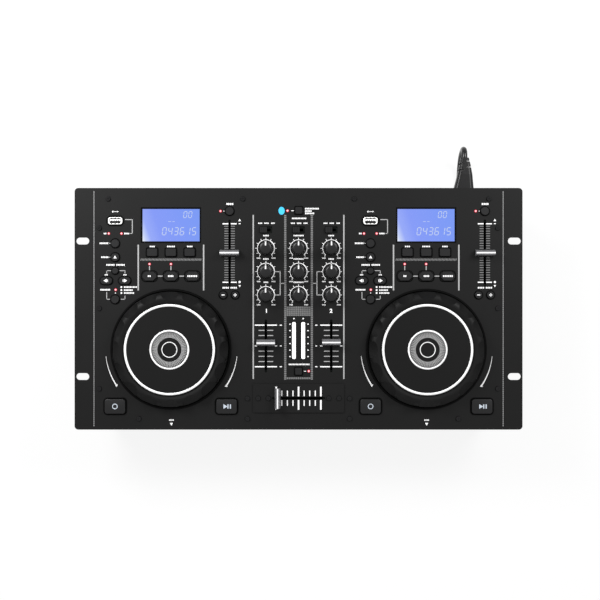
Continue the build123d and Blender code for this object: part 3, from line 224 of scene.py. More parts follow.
# Tie: a hook-and-loop strap of black woven nylon round the hank's waist, closed by its own
# overlap.
def settle(name, material, smooth=30):
    """Name the piece in work, put its place in its mesh and give it its material."""
    piece = bpy.context.object
    if piece.mode != "OBJECT":
        bpy.ops.object.mode_set(mode="OBJECT")
    bpy.ops.object.transform_apply(location=True, rotation=True, scale=True)
    piece.name = name
    piece.data.name = name
    piece.data.materials.clear()
    piece.data.materials.append(material)
    bpy.ops.object.shade_smooth_by_angle(angle=radians(smooth))
    return piece


def choose(piece, mode, test):
    """Enter edit mode with the vertices, edges or faces of a piece that pass a test selected."""
    bpy.ops.object.mode_set(mode="EDIT")
    bpy.ops.mesh.select_mode(type=mode)
    bpy.ops.mesh.select_all(action="DESELECT")
    bpy.ops.object.mode_set(mode="OBJECT")
    mesh = piece.data
    for row in {"VERT": mesh.vertices, "EDGE": mesh.edges, "FACE": mesh.polygons}[mode]:
        row.select = test(row)
    bpy.ops.object.mode_set(mode="EDIT")


def span(piece, edge, axis):
    """How far an edge of a piece runs along an axis."""
    ends = [piece.data.vertices[v].co[axis] for v in edge.vertices]
    return abs(ends[0] - ends[1])


def block(x, y, z, width, depth, height):
    """Add a block, its middle at x, y, z, in millimetres."""
    bpy.ops.mesh.primitive_cube_add(
        size=1, location=(x * mm, y * mm, z * mm), scale=(width * mm, depth * mm, height * mm)
    )
    return bpy.context.object


nylon = new_material("woven black nylon")
place = add_node(nylon, "ShaderNodeTexCoord")
# Threads of about 0.5 mm, across and along the strap
weave = add_node(
    nylon, "ShaderNodeTexWave", {"Vector": place.outputs["Object"], "Scale": 320.0},
    bands_direction="DIAGONAL",
)
relief = add_node(
    nylon, "ShaderNodeBump", {"Height": weave.outputs["Fac"], "Strength": 0.5, "Distance": 0.0002}
)
shader = add_node(
    nylon, "ShaderNodeBsdfPrincipled",
    {"Base Color": hex_colour("151518"), "Roughness": 0.85, "Normal": relief.outputs[0]},
)
add_node(nylon, "ShaderNodeOutputMaterial", {"Surface": shader.outputs[0]})
bpy.ops.object.select_all(action="DESELECT")
strap_width, strap_span, strap_height, strap_sheet = 14, 58.4, 14.3, 0.7
strap = block(8, 19.1, strap_height / 2, strap_width, strap_span, strap_height)
bpy.ops.object.transform_apply(location=True, rotation=True, scale=True)
choose(strap, "EDGE", lambda edge: span(strap, edge, 0) > mm)
bpy.ops.mesh.bevel(offset=5 * mm, segments=6)
bpy.ops.object.mode_set(mode="OBJECT")
choose(strap, "FACE", lambda face: abs(face.normal.x) > 0.9)
bpy.ops.mesh.delete(type="FACE")
bpy.ops.object.mode_set(mode="OBJECT")
thick = strap.modifiers.new("thick", "SOLIDIFY")
thick.thickness = strap_sheet * mm
thick.offset = -1
bpy.ops.object.modifier_apply(modifier="thick")
settle("lead_tie", nylon)
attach(strap, "console")

# Connector and mains plug: PVC moulded on the two ends of the lead, half matt, with the fine grain
# of a spark-eroded mould.
def dress(material, *names):
    """Give whole solids of the frame one material."""
    for name in names:
        nodes[name].data.materials.clear()
        nodes[name].data.materials.append(material)


moulded_pvc = new_material("moulded black PVC")
place = add_node(moulded_pvc, "ShaderNodeTexCoord")
# A grain of about 1 mm, coarser than the real 0.1 mm so that it shows
grain = add_node(
    moulded_pvc, "ShaderNodeTexNoise",
    {"Vector": place.outputs["Object"], "Scale": 1000.0, "Detail": 4.0},
)
relief = add_node(
    moulded_pvc, "ShaderNodeBump", {"Height": grain.outputs[0], "Strength": 0.3, "Distance": 0.0001}
)
shader = add_node(
    moulded_pvc, "ShaderNodeBsdfPrincipled",
    {
        "Base Color": hex_colour("0b0b0c"), "Roughness": 0.35, "Specular IOR Level": 0.2,
        "Normal": relief.outputs[0],
    },
)
add_node(moulded_pvc, "ShaderNodeOutputMaterial", {"Surface": shader.outputs[0]})
dress(moulded_pvc, "iec_connector", "mains_plug")

# Rubber feet: four moulded pucks of hard rubber under the tub's floor, dull and slightly grey.
foot_rubber = new_material("moulded rubber")
place = add_node(foot_rubber, "ShaderNodeTexCoord")
grain = add_node(
    foot_rubber, "ShaderNodeTexNoise",
    {"Vector": place.outputs["Object"], "Scale": 700.0, "Detail": 5.0},
)
tone = add_node(foot_rubber, "ShaderNodeValToRGB", {"Fac": grain.outputs[0]})
tone.color_ramp.elements[0].color = hex_colour("0e0e0e")
tone.color_ramp.elements[1].color = hex_colour("1c1c1b")
relief = add_node(
    foot_rubber, "ShaderNodeBump", {"Height": grain.outputs[0], "Strength": 0.4, "Distance": 0.0001}
)
shader = add_node(
    foot_rubber, "ShaderNodeBsdfPrincipled",
    {"Base Color": tone.outputs[0], "Roughness": 0.8, "Normal": relief.outputs[0]},
)
add_node(foot_rubber, "ShaderNodeOutputMaterial", {"Surface": shader.outputs[0]})
dress(foot_rubber, "rubber_feet")

# Steel sheet: the folded tub, its rear plate, the flat top plate and the crossfader's plate, all
# punched and powder coated in black. The coat is satin, with a fine orange-peel grain and a faint
# cloudiness.
powder_coat = new_material("black powder coat on steel")
place = add_node(powder_coat, "ShaderNodeTexCoord")
# Peel of about 1.2 mm, coarser than the real 0.3 mm so that it shows
peel = add_node(
    powder_coat, "ShaderNodeTexNoise",
    {"Vector": place.outputs["Object"], "Scale": 850.0, "Detail": 4.0, "Roughness": 0.6},
)
cloud = add_node(
    powder_coat, "ShaderNodeTexNoise",
    {"Vector": place.outputs["Object"], "Scale": 14.0, "Detail": 2.0},
)
tone = add_node(powder_coat, "ShaderNodeValToRGB", {"Fac": cloud.outputs[0]})
tone.color_ramp.elements[0].position = 0.3
tone.color_ramp.elements[0].color = hex_colour("060606")
tone.color_ramp.elements[1].position = 0.7
tone.color_ramp.elements[1].color = hex_colour("0a0a0a")
relief = add_node(
    powder_coat, "ShaderNodeBump", {"Height": peel.outputs[0], "Strength": 0.35, "Distance": 0.0001}
)
shader = add_node(
    powder_coat, "ShaderNodeBsdfPrincipled",
    {
        "Base Color": tone.outputs[0], "Roughness": 0.5, "Specular IOR Level": 0.16,
        "Normal": relief.outputs[0],
    },
)
add_node(powder_coat, "ShaderNodeOutputMaterial", {"Surface": shader.outputs[0]})
dress(powder_coat, "chassis_tub", "rear_plate", "top_panel", "crossfader_plate")

# Screws: steel pan heads with a cross recess, blackened with oxide, which hold the plates and are
# a little glossier than their coat.
black_oxide = new_material("black oxide on steel")
shader = add_node(
    black_oxide, "ShaderNodeBsdfPrincipled",
    {"Base Color": hex_colour("08080a"), "Metallic": 0.5, "Roughness": 0.25},
)
add_node(black_oxide, "ShaderNodeOutputMaterial", {"Surface": shader.outputs[0]})
dress(black_oxide, "panel_screws")

# Drives and boards inside the tub: zinc-plated steel boxes screwed to its floor, and glass-fibre
# boards with black solder mask on standoffs.
zinc = new_material("zinc plate on steel")
place = add_node(zinc, "ShaderNodeTexCoord")
spangle = add_node(
    zinc, "ShaderNodeTexVoronoi", {"Vector": place.outputs["Object"], "Scale": 160.0}
)
rough = add_node(
    zinc, "ShaderNodeMapRange",
    {"Value": spangle.outputs["Distance"], "To Min": 0.28, "To Max": 0.5},
)
shader = add_node(
    zinc, "ShaderNodeBsdfPrincipled",
    {"Base Color": hex_colour("b4b7b9"), "Metallic": 1.0, "Roughness": rough.outputs[0]},
)
add_node(zinc, "ShaderNodeOutputMaterial", {"Surface": shader.outputs[0]})
dress(zinc, "disc_drives")
glass_fibre = new_material("solder-masked glass fibre")
place = add_node(glass_fibre, "ShaderNodeTexCoord")
fibres = add_node(
    glass_fibre, "ShaderNodeTexNoise", {"Vector": place.outputs["Object"], "Scale": 1200.0}
)
tone = add_node(glass_fibre, "ShaderNodeValToRGB", {"Fac": fibres.outputs[0]})
tone.color_ramp.elements[0].color = hex_colour("070908")
tone.color_ramp.elements[1].color = hex_colour("0f1411")
shader = add_node(
    glass_fibre, "ShaderNodeBsdfPrincipled",
    {"Base Color": tone.outputs[0], "Roughness": 0.6, "Specular IOR Level": 0.1},
)
add_node(glass_fibre, "ShaderNodeOutputMaterial", {"Surface": shader.outputs[0]})
dress(glass_fibre, "circuit_boards")

# Keys, switches, rocker, spindles, slot bezels and socket bodies: injection-moulded ABS, black and
# matt from a spark-eroded mould. The pads and knobs, further on, are of the same plastic.
abs_plastic = new_material("moulded black ABS")
place = add_node(abs_plastic, "ShaderNodeTexCoord")
# A grain of about 0.8 mm, coarser than the real 0.05 mm so that it shows
grain = add_node(
    abs_plastic, "ShaderNodeTexNoise",
    {"Vector": place.outputs["Object"], "Scale": 1300.0, "Detail": 3.0},
)
relief = add_node(
    abs_plastic, "ShaderNodeBump",
    {"Height": grain.outputs[0], "Strength": 0.25, "Distance": 0.00008},
)
shader = add_node(
    abs_plastic, "ShaderNodeBsdfPrincipled",
    {
        "Base Color": hex_colour("060607"), "Roughness": 0.36, "Specular IOR Level": 0.3,
        "Normal": relief.outputs[0],
    },
)
add_node(abs_plastic, "ShaderNodeOutputMaterial", {"Surface": shader.outputs[0]})
key_names = ("pitch_key", "menu_keys", "search_keys", "display_keys", "loop_keys", "bend_keys")
# The middle of each deck along the plate
deck_middle = 137.5
sides = {"left": -deck_middle, "right": deck_middle}
dress(abs_plastic, "sockets", "slot_bezels", "power_rocker", "pair_key", "relay_key")
dress(abs_plastic, "source_switch_left", "cue_switch", "source_switch_right")
dress(abs_plastic, *[f"{name}_{side}" for name in (*key_names, "disc_spindle") for side in sides])

# Printing on the plate: screen-printed ink, off-white for the labels and ticks and grey for the
# lines that group the controls. Words are left as rows of plain blocks. The grey also serves as
# painted highlight along the fold beside each ear.
plate_top, ink_thickness = 86.0, 0.06


def blank():
    """Start a piece with an empty mesh, in edit mode."""
    bpy.ops.object.select_all(action="DESELECT")
    bpy.ops.object.add(type="MESH", enter_editmode=True)


def bar(x, y, width, depth, height=plate_top, turn=0.0, thickness=ink_thickness):
    """Add a flat block of ink, its top thickness above a height, in millimetres."""
    bpy.ops.mesh.primitive_cube_add(
        size=1, location=(x * mm, y * mm, height * mm), rotation=(0, 0, radians(turn)),
        scale=(width * mm, depth * mm, 2 * thickness * mm),
    )


def word(x0, x1, y, size, height=plate_top):
    """Add a row of plain blocks from x0 to x1, where the real one has a word."""
    count = max(2, round((x1 - x0) / (0.95 * size)))
    pitch = (x1 - x0) / count
    for n in range(count):
        bar(x0 + (n + 0.5) * pitch, y, pitch * 0.72, size, height)


def shape(corners, x, y, radius, height=plate_top, turn=0.0):
    """Add a flat triangle or disc."""
    bpy.ops.mesh.primitive_cylinder_add(
        vertices=corners, radius=radius * mm, depth=2 * ink_thickness * mm,
        location=(x * mm, y * mm, height * mm), rotation=(0, 0, radians(turn)),
    )


def spoke(x, y, radius, angle, length, width, height=plate_top):
    """Add a bar that points away from a centre, its middle at a radius and an angle."""
    turn = radians(angle)
    bar(x + radius * cos(turn), y + radius * sin(turn), length, width, height, angle)


def arc(x, y, radius, width, start, end):
    """Add an arc round a centre, from one angle to another, in short straight blocks."""
    count = max(1, round(abs(end - start) / 8))
    step = (end - start) / count
    for n in range(count):
        reach = abs(radians(step)) * (radius + width / 2)
        spoke(x, y, radius, start + (n + 0.5) * step, width, reach)


def printed(name, material, body):
    """Close the piece in work: face its sides outwards, settle it and let it ride."""
    bpy.ops.mesh.select_all(action="SELECT")
    bpy.ops.mesh.remove_doubles(threshold=0.001 * mm)
    bpy.ops.mesh.normals_make_consistent(inside=False)
    piece = settle(name, material, smooth=20)
    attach(piece, body)
    return piece


inks = {}
for shade, code in (("white", "eeeeee"), ("grey", "9c9c9c"), ("dark grey", "6a6a6a")):
    inks[shade] = new_material(f"screen-printed {shade} ink")
    shader = add_node(
        inks[shade], "ShaderNodeBsdfPrincipled",
        {"Base Color": hex_colour(code), "Roughness": 0.5, "Specular IOR Level": 0.3},
    )
    add_node(inks[shade], "ShaderNodeOutputMaterial", {"Surface": shader.outputs[0]})
white_ink, grey_ink_and_fold_highlight, dark_ink = inks.values()
# Where the controls stand: columns from a deck's middle or the plate's, and rows from its middle
key_x, pitch_x, channel_x = -60, 63.2, 35.2
jog_y, cross_y, cross_top = -43.5, -96.2, 87.5
knob_columns = {"left": -channel_x, "middle": 0.0, "right": channel_x}
knob_rows = {"top": 65.2, "centre": 40.0, "bottom": 14.9}
for side, deck_x in sides.items():
    blank()
    # Labels of the keys and lamps, each from its left end to its right end
    for x0, x1, y, size in (
        (-72.6, -69.4, 81.1, 1.6), (-50.6, -44.8, 81.1, 1.6), (-77.0, -67.4, 70.6, 1.7),
        (-75.4, -67.2, 55.6, 1.7), (-69.8, -60.6, 47.3, 1.7), (-59.0, -49.6, 47.3, 1.7),
        (-71.4, -67.8, 36.6, 1.3), (-51.4, -47.8, 36.6, 1.3), (-76.2, -65.4, 20.5, 1.7),
        (-50.8, -36.4, 23.4, 1.6), (-50.8, -41.0, 20.1, 1.6), (-50.8, -39.6, 17.0, 1.6),
        (-23.1, -17.3, 67.0, 1.8), (-4.4, 4.4, 67.0, 1.8), (17.1, 23.3, 67.0, 1.8),
        (59.6, 67.4, 112.9, 2.0), (55.4, 62.6, 22.7, 1.7), (64.0, 71.2, 22.7, 1.7),
        (-2.2, 3.2, -119.9, 1.5),
    ):
        word(deck_x + x0, deck_x + x1, y, size)
    # Dashes beside the lamps and keys, and the end marks of the pitch scale
    for x, y, width, depth in (
        (key_x, 104.7, 5.6, 0.5), (-59.8, 17.0, 0.9, 1.0), (-53.4, 23.4, 1.7, 1.7),
        (-53.4, 20.1, 1.7, 1.7), (-53.4, 17.0, 1.7, 1.7), (57.2, 105.3, 1.0, 0.8),
        (58.7, 91.6, 6.2, 1.2), (67.7, 91.6, 6.2, 1.2), (58.7, 28.6, 6.2, 1.2),
        (67.7, 28.6, 6.2, 1.2), (74.0, 91.7, 2.0, 0.9),
    ):
        bar(deck_x + x, y, width, depth)
    # Dots, and triangles that point along the plate or up and down it
    for corners, x, y, radius, turn in (
        (16, -62.6, 104.7, 0.9, 0), (3, -57.3, 104.7, 1.0, -90), (10, -65.9, 70.6, 0.45, 0),
        (10, -65.9, 55.6, 0.45, 0), (3, 74.0, 95.3, 1.7, 0), (12, 74.0, 28.8, 1.2, 0),
        (3, 74.0, 24.8, 1.5, 180), (3, 0.5, -123.9, 2.0, 180),
    ):
        shape(corners, deck_x + x, y, radius, turn=turn)
    # Direction arrows beside the jog wheel, thin at the top
    for s, radius in ((-1, 70.4), (1, 71.5)):
        for n in range(11):
            angle = 6.2 + n * 2.42
            width = 0.35 + 0.1 * n
            start, end = (180 + angle, 182.45 + angle) if s < 0 else (-2.45 - angle, -angle)
            arc(deck_x, jog_y, radius, width, start, end)
        angle = 213.6 if s < 0 else -33.6
        turn = radians(angle)
        shape(
            3, deck_x + radius * cos(turn), jog_y + radius * sin(turn), 1.9, turn=angle - s * 90
        )
    printed(f"deck_labels_{side}", white_ink, "console")

    blank()
    # Lines that tie the lamps and keys together
    for x, y, width, depth in (
        (-45.5, 96.1, 7.8, 0.9), (-41.6, 88.7, 0.9, 15.8), (-42.5, 81.2, 2.4, 0.9),
        (-67.0, 41.1, 5.2, 0.8), (-69.2, 39.7, 0.8, 3.6), (-52.6, 41.1, 6.2, 0.8),
        (-49.5, 39.7, 0.8, 3.6), (-69.2, 14.0, 0.8, 8.2), (-67.4, 10.3, 4.4, 0.8),
        (-49.5, 12.0, 0.8, 4.2), (-51.6, 10.3, 4.8, 0.8), (-35.2, 44.4, 1.5, 49.3),
        (35.2, 44.4, 1.5, 49.3), (-23.1, 43.9, 1.0, 4.4), (0.0, 43.9, 1.0, 4.4),
        (-11.5, 35.2, 5.8, 1.1), (11.5, 35.2, 5.8, 1.1),
    ):
        bar(deck_x + x, y, width, depth)
    printed(f"deck_lines_{side}", grey_ink_and_fold_highlight, "console")

    blank()
    # Ticks of the pitch scale and the hatched bar between the rows of keys
    for n in range(1, 24):
        for s in (-1, 1):
            bar(deck_x + pitch_x + s * 3.5, 28.6 + n * 2.625, 4.2, 0.95)
    for n in range(44):
        bar(deck_x - 32.25 + n * 1.5, 53.0, 0.85, 2.5, turn=-20)
    printed(f"deck_ticks_{side}", dark_ink, "console")

blank()
# Labels of the switches, keys and lamps in the middle of the plate
for middle in (-channel_x, channel_x):
    for x0, x1 in ((-8.4, -3.9), (-1.9, 3.0), (5.5, 9.5)):
        word(middle + x0, middle + x1, 92.2, 1.4)
for x0, x1 in ((-8.4, -3.9), (-1.9, 3.1), (5.2, 9.8)):
    word(x0, x1, 92.2, 1.4)
word(-7.4, 8.4, 97.4, 1.6)
for x1, y in ((22.0, 107.9), (14.2, 105.3), (17.0, 102.8)):
    word(6.8, x1, y, 1.7)
bar(-6.4, 105.7, 2.8, 0.7)
bar(7.0, -67.3, 2.4, 0.7)
word(-10.8, 12.0, -59.9, 1.6)
# Knob scales: an arc with ticks, a label above and a short mark at each end
for column, x in knob_columns.items():
    for y, length in zip(knob_rows.values(), (6.4, 6.2, 5.2)):
        arc(x, y, 9.2, 0.6, 60, 230)
        arc(x, y, 9.2, 1.0, -50, 60)
        for angle in (-50, -30, 0, 30, 60, 90, 120, 150, 180, 210, 230):
            spoke(x, y, 10.4, angle, 2.0, 0.55)
        half = 5.6 if column == "middle" else length / 2
        word(x - half, x + half, y + 13.7, 1.5)
        word(x - 9.9, x - 6.0, y - 10.6, 1.3)
        word(x + 6.0, x + 10.4, y - 10.6, 1.3)
# Channel scales, level marks and crossfader scale
for s in (-1, 1):
    x = s * channel_x
    for y in (-17.6, -62.4):
        for t in (-1, 1):
            bar(x + t * 6.7, y, 10.4, 1.2)
        bar(x - s * 16.1, y, 2.4, 1.0)
    for t in (-1, 1):
        bar(x + t * 10.8, -40.0, 2.6, 1.0)
    bar(x - s * 16.1, -40.0, 1.8, 1.0)
for x in (-9.2, 10.2):
    for n in range(6):
        bar(x, -16.5 - 7 * n, 1.4, 1.1)
for x in (-5.0, 5.0):
    shape(12, x, -10.6, 0.8)
for n in range(9):
    width, near, far = (1.7, 2.0, 12.4) if n in (0, 4, 8) else (1.1, 2.2, 8.2)
    for s in (-1, 1):
        bar(-24 + 6 * n, cross_y + s * (near + far) / 2, width, far - near, cross_top)
printed("mixer_labels", white_ink, "console")

blank()
# Dotted lines beside the ears, which are painted highlight along the fold there; lines at the
# mixer's sides and brackets between the knobs
for s in (-1, 1):
    for n in range(118):
        bar(s * 220.4, -125.8 + 2.15 * n, 0.7, 1.5)
    for x, y, width, depth in (
        (48.8, 12.8, 1.4, 176.8), (22.0, 40.0, 4.6, 0.9), (19.8, 27.4, 0.9, 26.0),
        (22.0, 14.9, 4.6, 0.9), (17.6, 27.4, 4.2, 0.9),
    ):
        bar(s * x, y, width, depth)
    for t in (-1, 1):
        for y in (-23.2, -28.8, -34.4, -45.6, -51.2, -56.8):
            bar(s * channel_x + t * 4.7, y, 6.4, 0.95)
printed("mixer_lines_and_fold_highlights", grey_ink_and_fold_highlight, "console")

blank()
# Dotted frame round the middle column, and the dotted band above the level bars
for s in (-1, 1):
    for n in range(89):
        bar(s * 14.3, 100.4 - 2.0 * n, 2.3, 1.5)
for n in range(13):
    bar(-12.0 + 2.0 * n, -74.8, 1.5, 2.0)
    for m in range(5):
        bar(-12.0 + 2.0 * n, 1.6 - 2.1 * m, 1.6, 1.7)
printed("mixer_frame", dark_ink, "console")

# Channel numbers: plain figures in the same white ink, screen-printed on the plate between each
# channel's knobs and its fader.
number_y, number_low = -4.1, 85.99
for number, x in (("1", -34.6), ("2", 35.0)):
    bpy.ops.object.select_all(action="DESELECT")
    bpy.ops.object.text_add(location=(x * mm, number_y * mm, number_low * mm))
    figure = bpy.context.object
    figure.data.body = number
    figure.data.align_x = "CENTER"
    figure.data.size = 5.8 * mm
    figure.data.offset = 0.22 * mm
    figure.data.extrude = 0.05 * mm
    bpy.ops.object.convert(target="MESH")
    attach(settle(f"channel_number_{number}", white_ink), "console")

# Oval: a bare spot of cyan ink, screen-printed on the plate to the left of the pairing lamp and
# its key.
cyan_ink = new_material("screen-printed cyan ink")
shader = add_node(
    cyan_ink, "ShaderNodeBsdfPrincipled", {"Base Color": hex_colour("35b4e4"), "Roughness": 0.5}
)
add_node(cyan_ink, "ShaderNodeOutputMaterial", {"Surface": shader.outputs[0]})
blank()
oval_middle = (-18.3 * mm, 105.6 * mm, plate_top * mm)
oval_half_width, oval_stretch = 3.3, 1.27
bpy.ops.mesh.primitive_cylinder_add(
    vertices=40, radius=oval_half_width * mm, depth=2 * ink_thickness * mm, location=oval_middle
)
bpy.ops.transform.resize(value=(1, oval_stretch, 1), center_override=oval_middle)
printed("pairing_oval", cyan_ink, "console")

# Faders: grey ABS caps, a little glossy, each with a white line printed across its top. They run in
# slots of the plate.
grey_abs = new_material("moulded grey ABS")
shader = add_node(
    grey_abs, "ShaderNodeBsdfPrincipled", {"Base Color": hex_colour("6c6c6e"), "Roughness": 0.3}
)
add_node(grey_abs, "ShaderNodeOutputMaterial", {"Surface": shader.outputs[0]})
# Each line's middle along and across the plate, its width and depth, and its height
fader_top, line_width = 96.2, 1.3
fader_lines = {
    "crossfader": (-22.5, cross_y, line_width, 21.0, 97.7),
    "channel_fader_left": (-channel_x, -36.6, 19.6, line_width, fader_top),
    "channel_fader_right": (channel_x, -36.0, 19.6, line_width, fader_top),
}
for side, deck_x in sides.items():
    fader_lines[f"pitch_fader_{side}"] = (deck_x + pitch_x, 60.1, 20.4, line_width, fader_top)
dress(grey_abs, *fader_lines)
line_thickness = 0.15
for name, (x, y, width, depth, top) in fader_lines.items():
    blank()
    bar(x, y, width, depth, top, thickness=line_thickness)
    printed(f"{name}_line", white_ink, name)

# Jog wheels and plates: satin black polycarbonate. Each plate has white rings printed near its rim
# and round its centre, with fine grey lines and ticks between them.
jog_satin = new_material("satin black polycarbonate")
shader = add_node(
    jog_satin, "ShaderNodeBsdfPrincipled",
    {"Base Color": hex_colour("060606"), "Roughness": 0.5, "Specular IOR Level": 0.14},
)
add_node(jog_satin, "ShaderNodeOutputMaterial", {"Surface": shader.outputs[0]})
dress(jog_satin, "jog_plate_left", "jog_plate_right", "jog_wheel_left", "jog_wheel_right")


def flat_ring(x, y, inner, outer, height):
    """Add a flat ring without thickness."""
    bpy.ops.mesh.select_all(action="DESELECT")
    centre = (x * mm, y * mm, height * mm)
    bpy.ops.mesh.primitive_circle_add(vertices=96, radius=inner * mm, location=centre)
    bpy.ops.mesh.extrude_edges_move(TRANSFORM_OT_translate={"value": (0, 0, 0)})
    bpy.ops.transform.resize(value=(outer / inner, outer / inner, 1), center_override=centre)


def thicken(name, material, body, thickness=0.1):
    """Close a piece of flat rings, give it thickness and let it ride."""
    piece = printed(name, material, body)
    thick = piece.modifiers.new("thick", "SOLIDIFY")
    thick.thickness = thickness * mm
    thick.offset = 0
    bpy.ops.object.modifier_apply(modifier="thick")


jog_top = 103.0
for side, deck_x in sides.items():
    blank()
    for inner, outer in ((46.1, 48.5), (19.3, 21.1), (7.6, 8.4)):
        flat_ring(deck_x, jog_y, inner, outer, jog_top)
    thicken(f"jog_rings_{side}", white_ink, f"jog_{side}")
    blank()
    for inner, outer in ((12.9, 13.3), (15.5, 15.9), (18.2, 18.5)):
        flat_ring(deck_x, jog_y, inner, outer, jog_top)
    thicken(f"jog_lines_{side}", grey_ink_and_fold_highlight, f"jog_{side}")
    blank()
    for angle in range(0, 360, 6):
        for radius, length in ((14.4, 2.0), (17.0, 1.7)):
            spoke(deck_x, jog_y, radius, angle, length, 0.9, jog_top)
    printed(f"jog_ticks_{side}", grey_ink_and_fold_highlight, f"jog_{side}")

# Jog bezels: matt black rubber round the jog wheels. The thin black frames and rings of it round
# the keys, a little wider than the openings of the plate, are painted shade of the gaps round the
# keys.
rubber_and_painted_gap_shade = new_material("matt black rubber and painted gap shade")
shader = add_node(
    rubber_and_painted_gap_shade, "ShaderNodeBsdfPrincipled",
    {"Base Color": hex_colour("020202"), "Roughness": 0.6, "Specular IOR Level": 0.06},
)
add_node(rubber_and_painted_gap_shade, "ShaderNodeOutputMaterial", {"Surface": shader.outputs[0]})
dress(rubber_and_painted_gap_shade, "jog_bezels")


def rounded_frame(x, y, width, depth, corner, band, height):
    """Make a flat frame with rounded corners, its opening a band's width inside its rim."""
    blank()
    centre = (x * mm, y * mm, height * mm)
    bpy.ops.mesh.primitive_plane_add(size=depth * mm, location=centre)
    bpy.ops.transform.resize(value=(width / depth, 1, 1), center_override=centre)
    bpy.ops.mesh.bevel(offset=corner * mm, segments=6, affect="VERTICES")
    bpy.ops.mesh.select_all(action="SELECT")
    bpy.ops.mesh.inset(thickness=band * mm)
    bpy.ops.mesh.delete(type="FACE")


pad_y = -105.0
painted_shade_height, painted_shade_thickness = 86.1, 0.24
# Width, depth, corner and band of each frame of painted gap shade, then the keys that have one
painted_shade_frames = (
    (25.6, 19.0, 4.5, 1.7, (("cue", key_x, pad_y), ("play", -key_x, pad_y))),
    (13.9, 11.1, 2.0, 1.1, (
        ("display_1", -20.2, 60.8), ("display_2", 0, 60.8), ("display_3", 20.2, 60.8),
    )),
    (18.0, 12.7, 4.4, 1.0, (("loop_1", -23.1, 35.2), ("loop_2", 0, 35.2), ("loop_3", 23.1, 35.2))),
    (15.1, 10.1, 4.9, 1.0, (("search_1", -69.5, 30.3), ("search_2", -49.7, 30.3))),
)
for side, deck_x in sides.items():
    for *form, keys in painted_shade_frames:
        for name, x, y in keys:
            rounded_frame(deck_x + x, y, *form, painted_shade_height)
            thicken(f"painted_gap_shade_{name}_{side}", rubber_and_painted_gap_shade, "console", painted_shade_thickness)
    # Rings of the same painted gap shade round the round keys
    blank()
    for x, y, radius in (
        (key_x, 70.5, 4.7), (key_x, 55.6, 4.7), (key_x, 10.2, 4.7), (key_x, 41.0, 3.7),
        (pitch_x, 105.3, 4.7), (56.3, 14.9, 4.2), (69.3, 14.9, 4.2),
    ):
        flat_ring(deck_x + x, y, radius, radius + 0.9, painted_shade_height)
    thicken(f"painted_gap_shade_rings_{side}", rubber_and_painted_gap_shade, "console", painted_shade_thickness)
# Frames of painted gap shade round the pairing and relay keys
for name, x, y in (("pair", 0.3, 105.9), ("relay", 0.0, -67.3)):
    rounded_frame(x, y, 10.0, 10.0, 1.6, 0.9, painted_shade_height)
    thicken(f"painted_gap_shade_{name}", rubber_and_painted_gap_shade, "console", painted_shade_thickness)

# Legends on the keys: ink of the same kind, printed on each cap, off-white on the small keys and
# pale blue-grey on the pads.
pale_ink = new_material("screen-printed pale ink")
shader = add_node(
    pale_ink, "ShaderNodeBsdfPrincipled", {"Base Color": hex_colour("b4bcc6"), "Roughness": 0.5}
)
add_node(pale_ink, "ShaderNodeOutputMaterial", {"Surface": shader.outputs[0]})
key_top, pad_top = 88.2, 89.0
for side, deck_x in sides.items():
    blank()
    shape(3, deck_x + key_x, 55.3, 2.0, key_top)
    printed(f"menu_legend_{side}", white_ink, f"menu_keys_{side}")
    blank()
    for s, x in ((-1, -69.5), (1, -49.7)):
        shape(3, deck_x + x + s * 0.5, 30.3, 2.3, key_top, -90 * s)
        bar(deck_x + x - s * 1.6, 30.3, 0.7, 2.6, key_top)
    printed(f"search_legends_{side}", white_ink, f"search_keys_{side}")
    blank()
    for x, half in ((-23.1, 1.8), (0.0, 3.1), (23.1, 5.5)):
        word(deck_x + x - half, deck_x + x + half, 35.2, 1.8, key_top)
    printed(f"loop_legends_{side}", white_ink, f"loop_keys_{side}")
    blank()
    for x, width, depth in ((56.3, 3.2, 1.0), (69.3, 3.2, 1.0), (69.3, 1.0, 3.2)):
        bar(deck_x + x, 14.9, width, depth, key_top)
    printed(f"bend_legends_{side}", white_ink, f"bend_keys_{side}")
    blank()
    shape(3, deck_x + 58.2, pad_y, 2.9, pad_top, -90)
    for x in (61.6, 64.2):
        bar(deck_x + x, pad_y, 1.3, 4.6, pad_top)
    printed(f"play_legend_{side}", pale_ink, f"play_key_{side}")
    blank()
    flat_ring(deck_x + key_x, pad_y, 2.1, 3.0, pad_top)
    thicken(f"cue_legend_{side}", pale_ink, f"cue_key_{side}")

# Pads: moulded ABS caps with well-rounded corners and a soft top edge, which stand 3 mm above the
# plate in openings of their own, one on each side of the jog wheel.
pad_width, pad_depth, pad_height = 22.2, 15.6, 9
for name, x in (("cue_key", key_x), ("play_key", -key_x)):
    for side, deck_x in sides.items():
        bpy.ops.object.select_all(action="DESELECT")
        pad_z = pad_top - pad_height / 2
        pad = block(deck_x + x, pad_y, pad_z, pad_width, pad_depth, pad_height)
        bpy.ops.object.transform_apply(location=True, rotation=True, scale=True)
        choose(pad, "EDGE", lambda edge: span(pad, edge, 2) > mm)
        bpy.ops.mesh.bevel(offset=3 * mm, segments=8)
        bpy.ops.object.mode_set(mode="OBJECT")
        choose(pad, "FACE", lambda face: face.normal.z > 0.9)
        bpy.ops.mesh.bevel(offset=0.6 * mm, segments=3)
        settle(f"{name}_cap_{side}", abs_plastic)
        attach(pad, f"{name}_{side}")
        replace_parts(pad, f"{name}_{side}")

# Knobs: black ABS, fluted round the skirt, with a stepped cap and a white pointer that runs down
# the side. One is made and nine are copied from it, each on its own shaft.
knob_radius, knob_height, knob_middle = 7.6, 12.2, 92.9
flute_draw, knob_taper = 0.9, 0.88
bpy.ops.object.select_all(action="DESELECT")
bpy.ops.mesh.primitive_cylinder_add(
    vertices=72, radius=knob_radius * mm, depth=knob_height * mm,
    location=(0, 0, knob_middle * mm),
)
knob_cap = bpy.context.object
bpy.ops.object.transform_apply(location=True, rotation=True, scale=True)
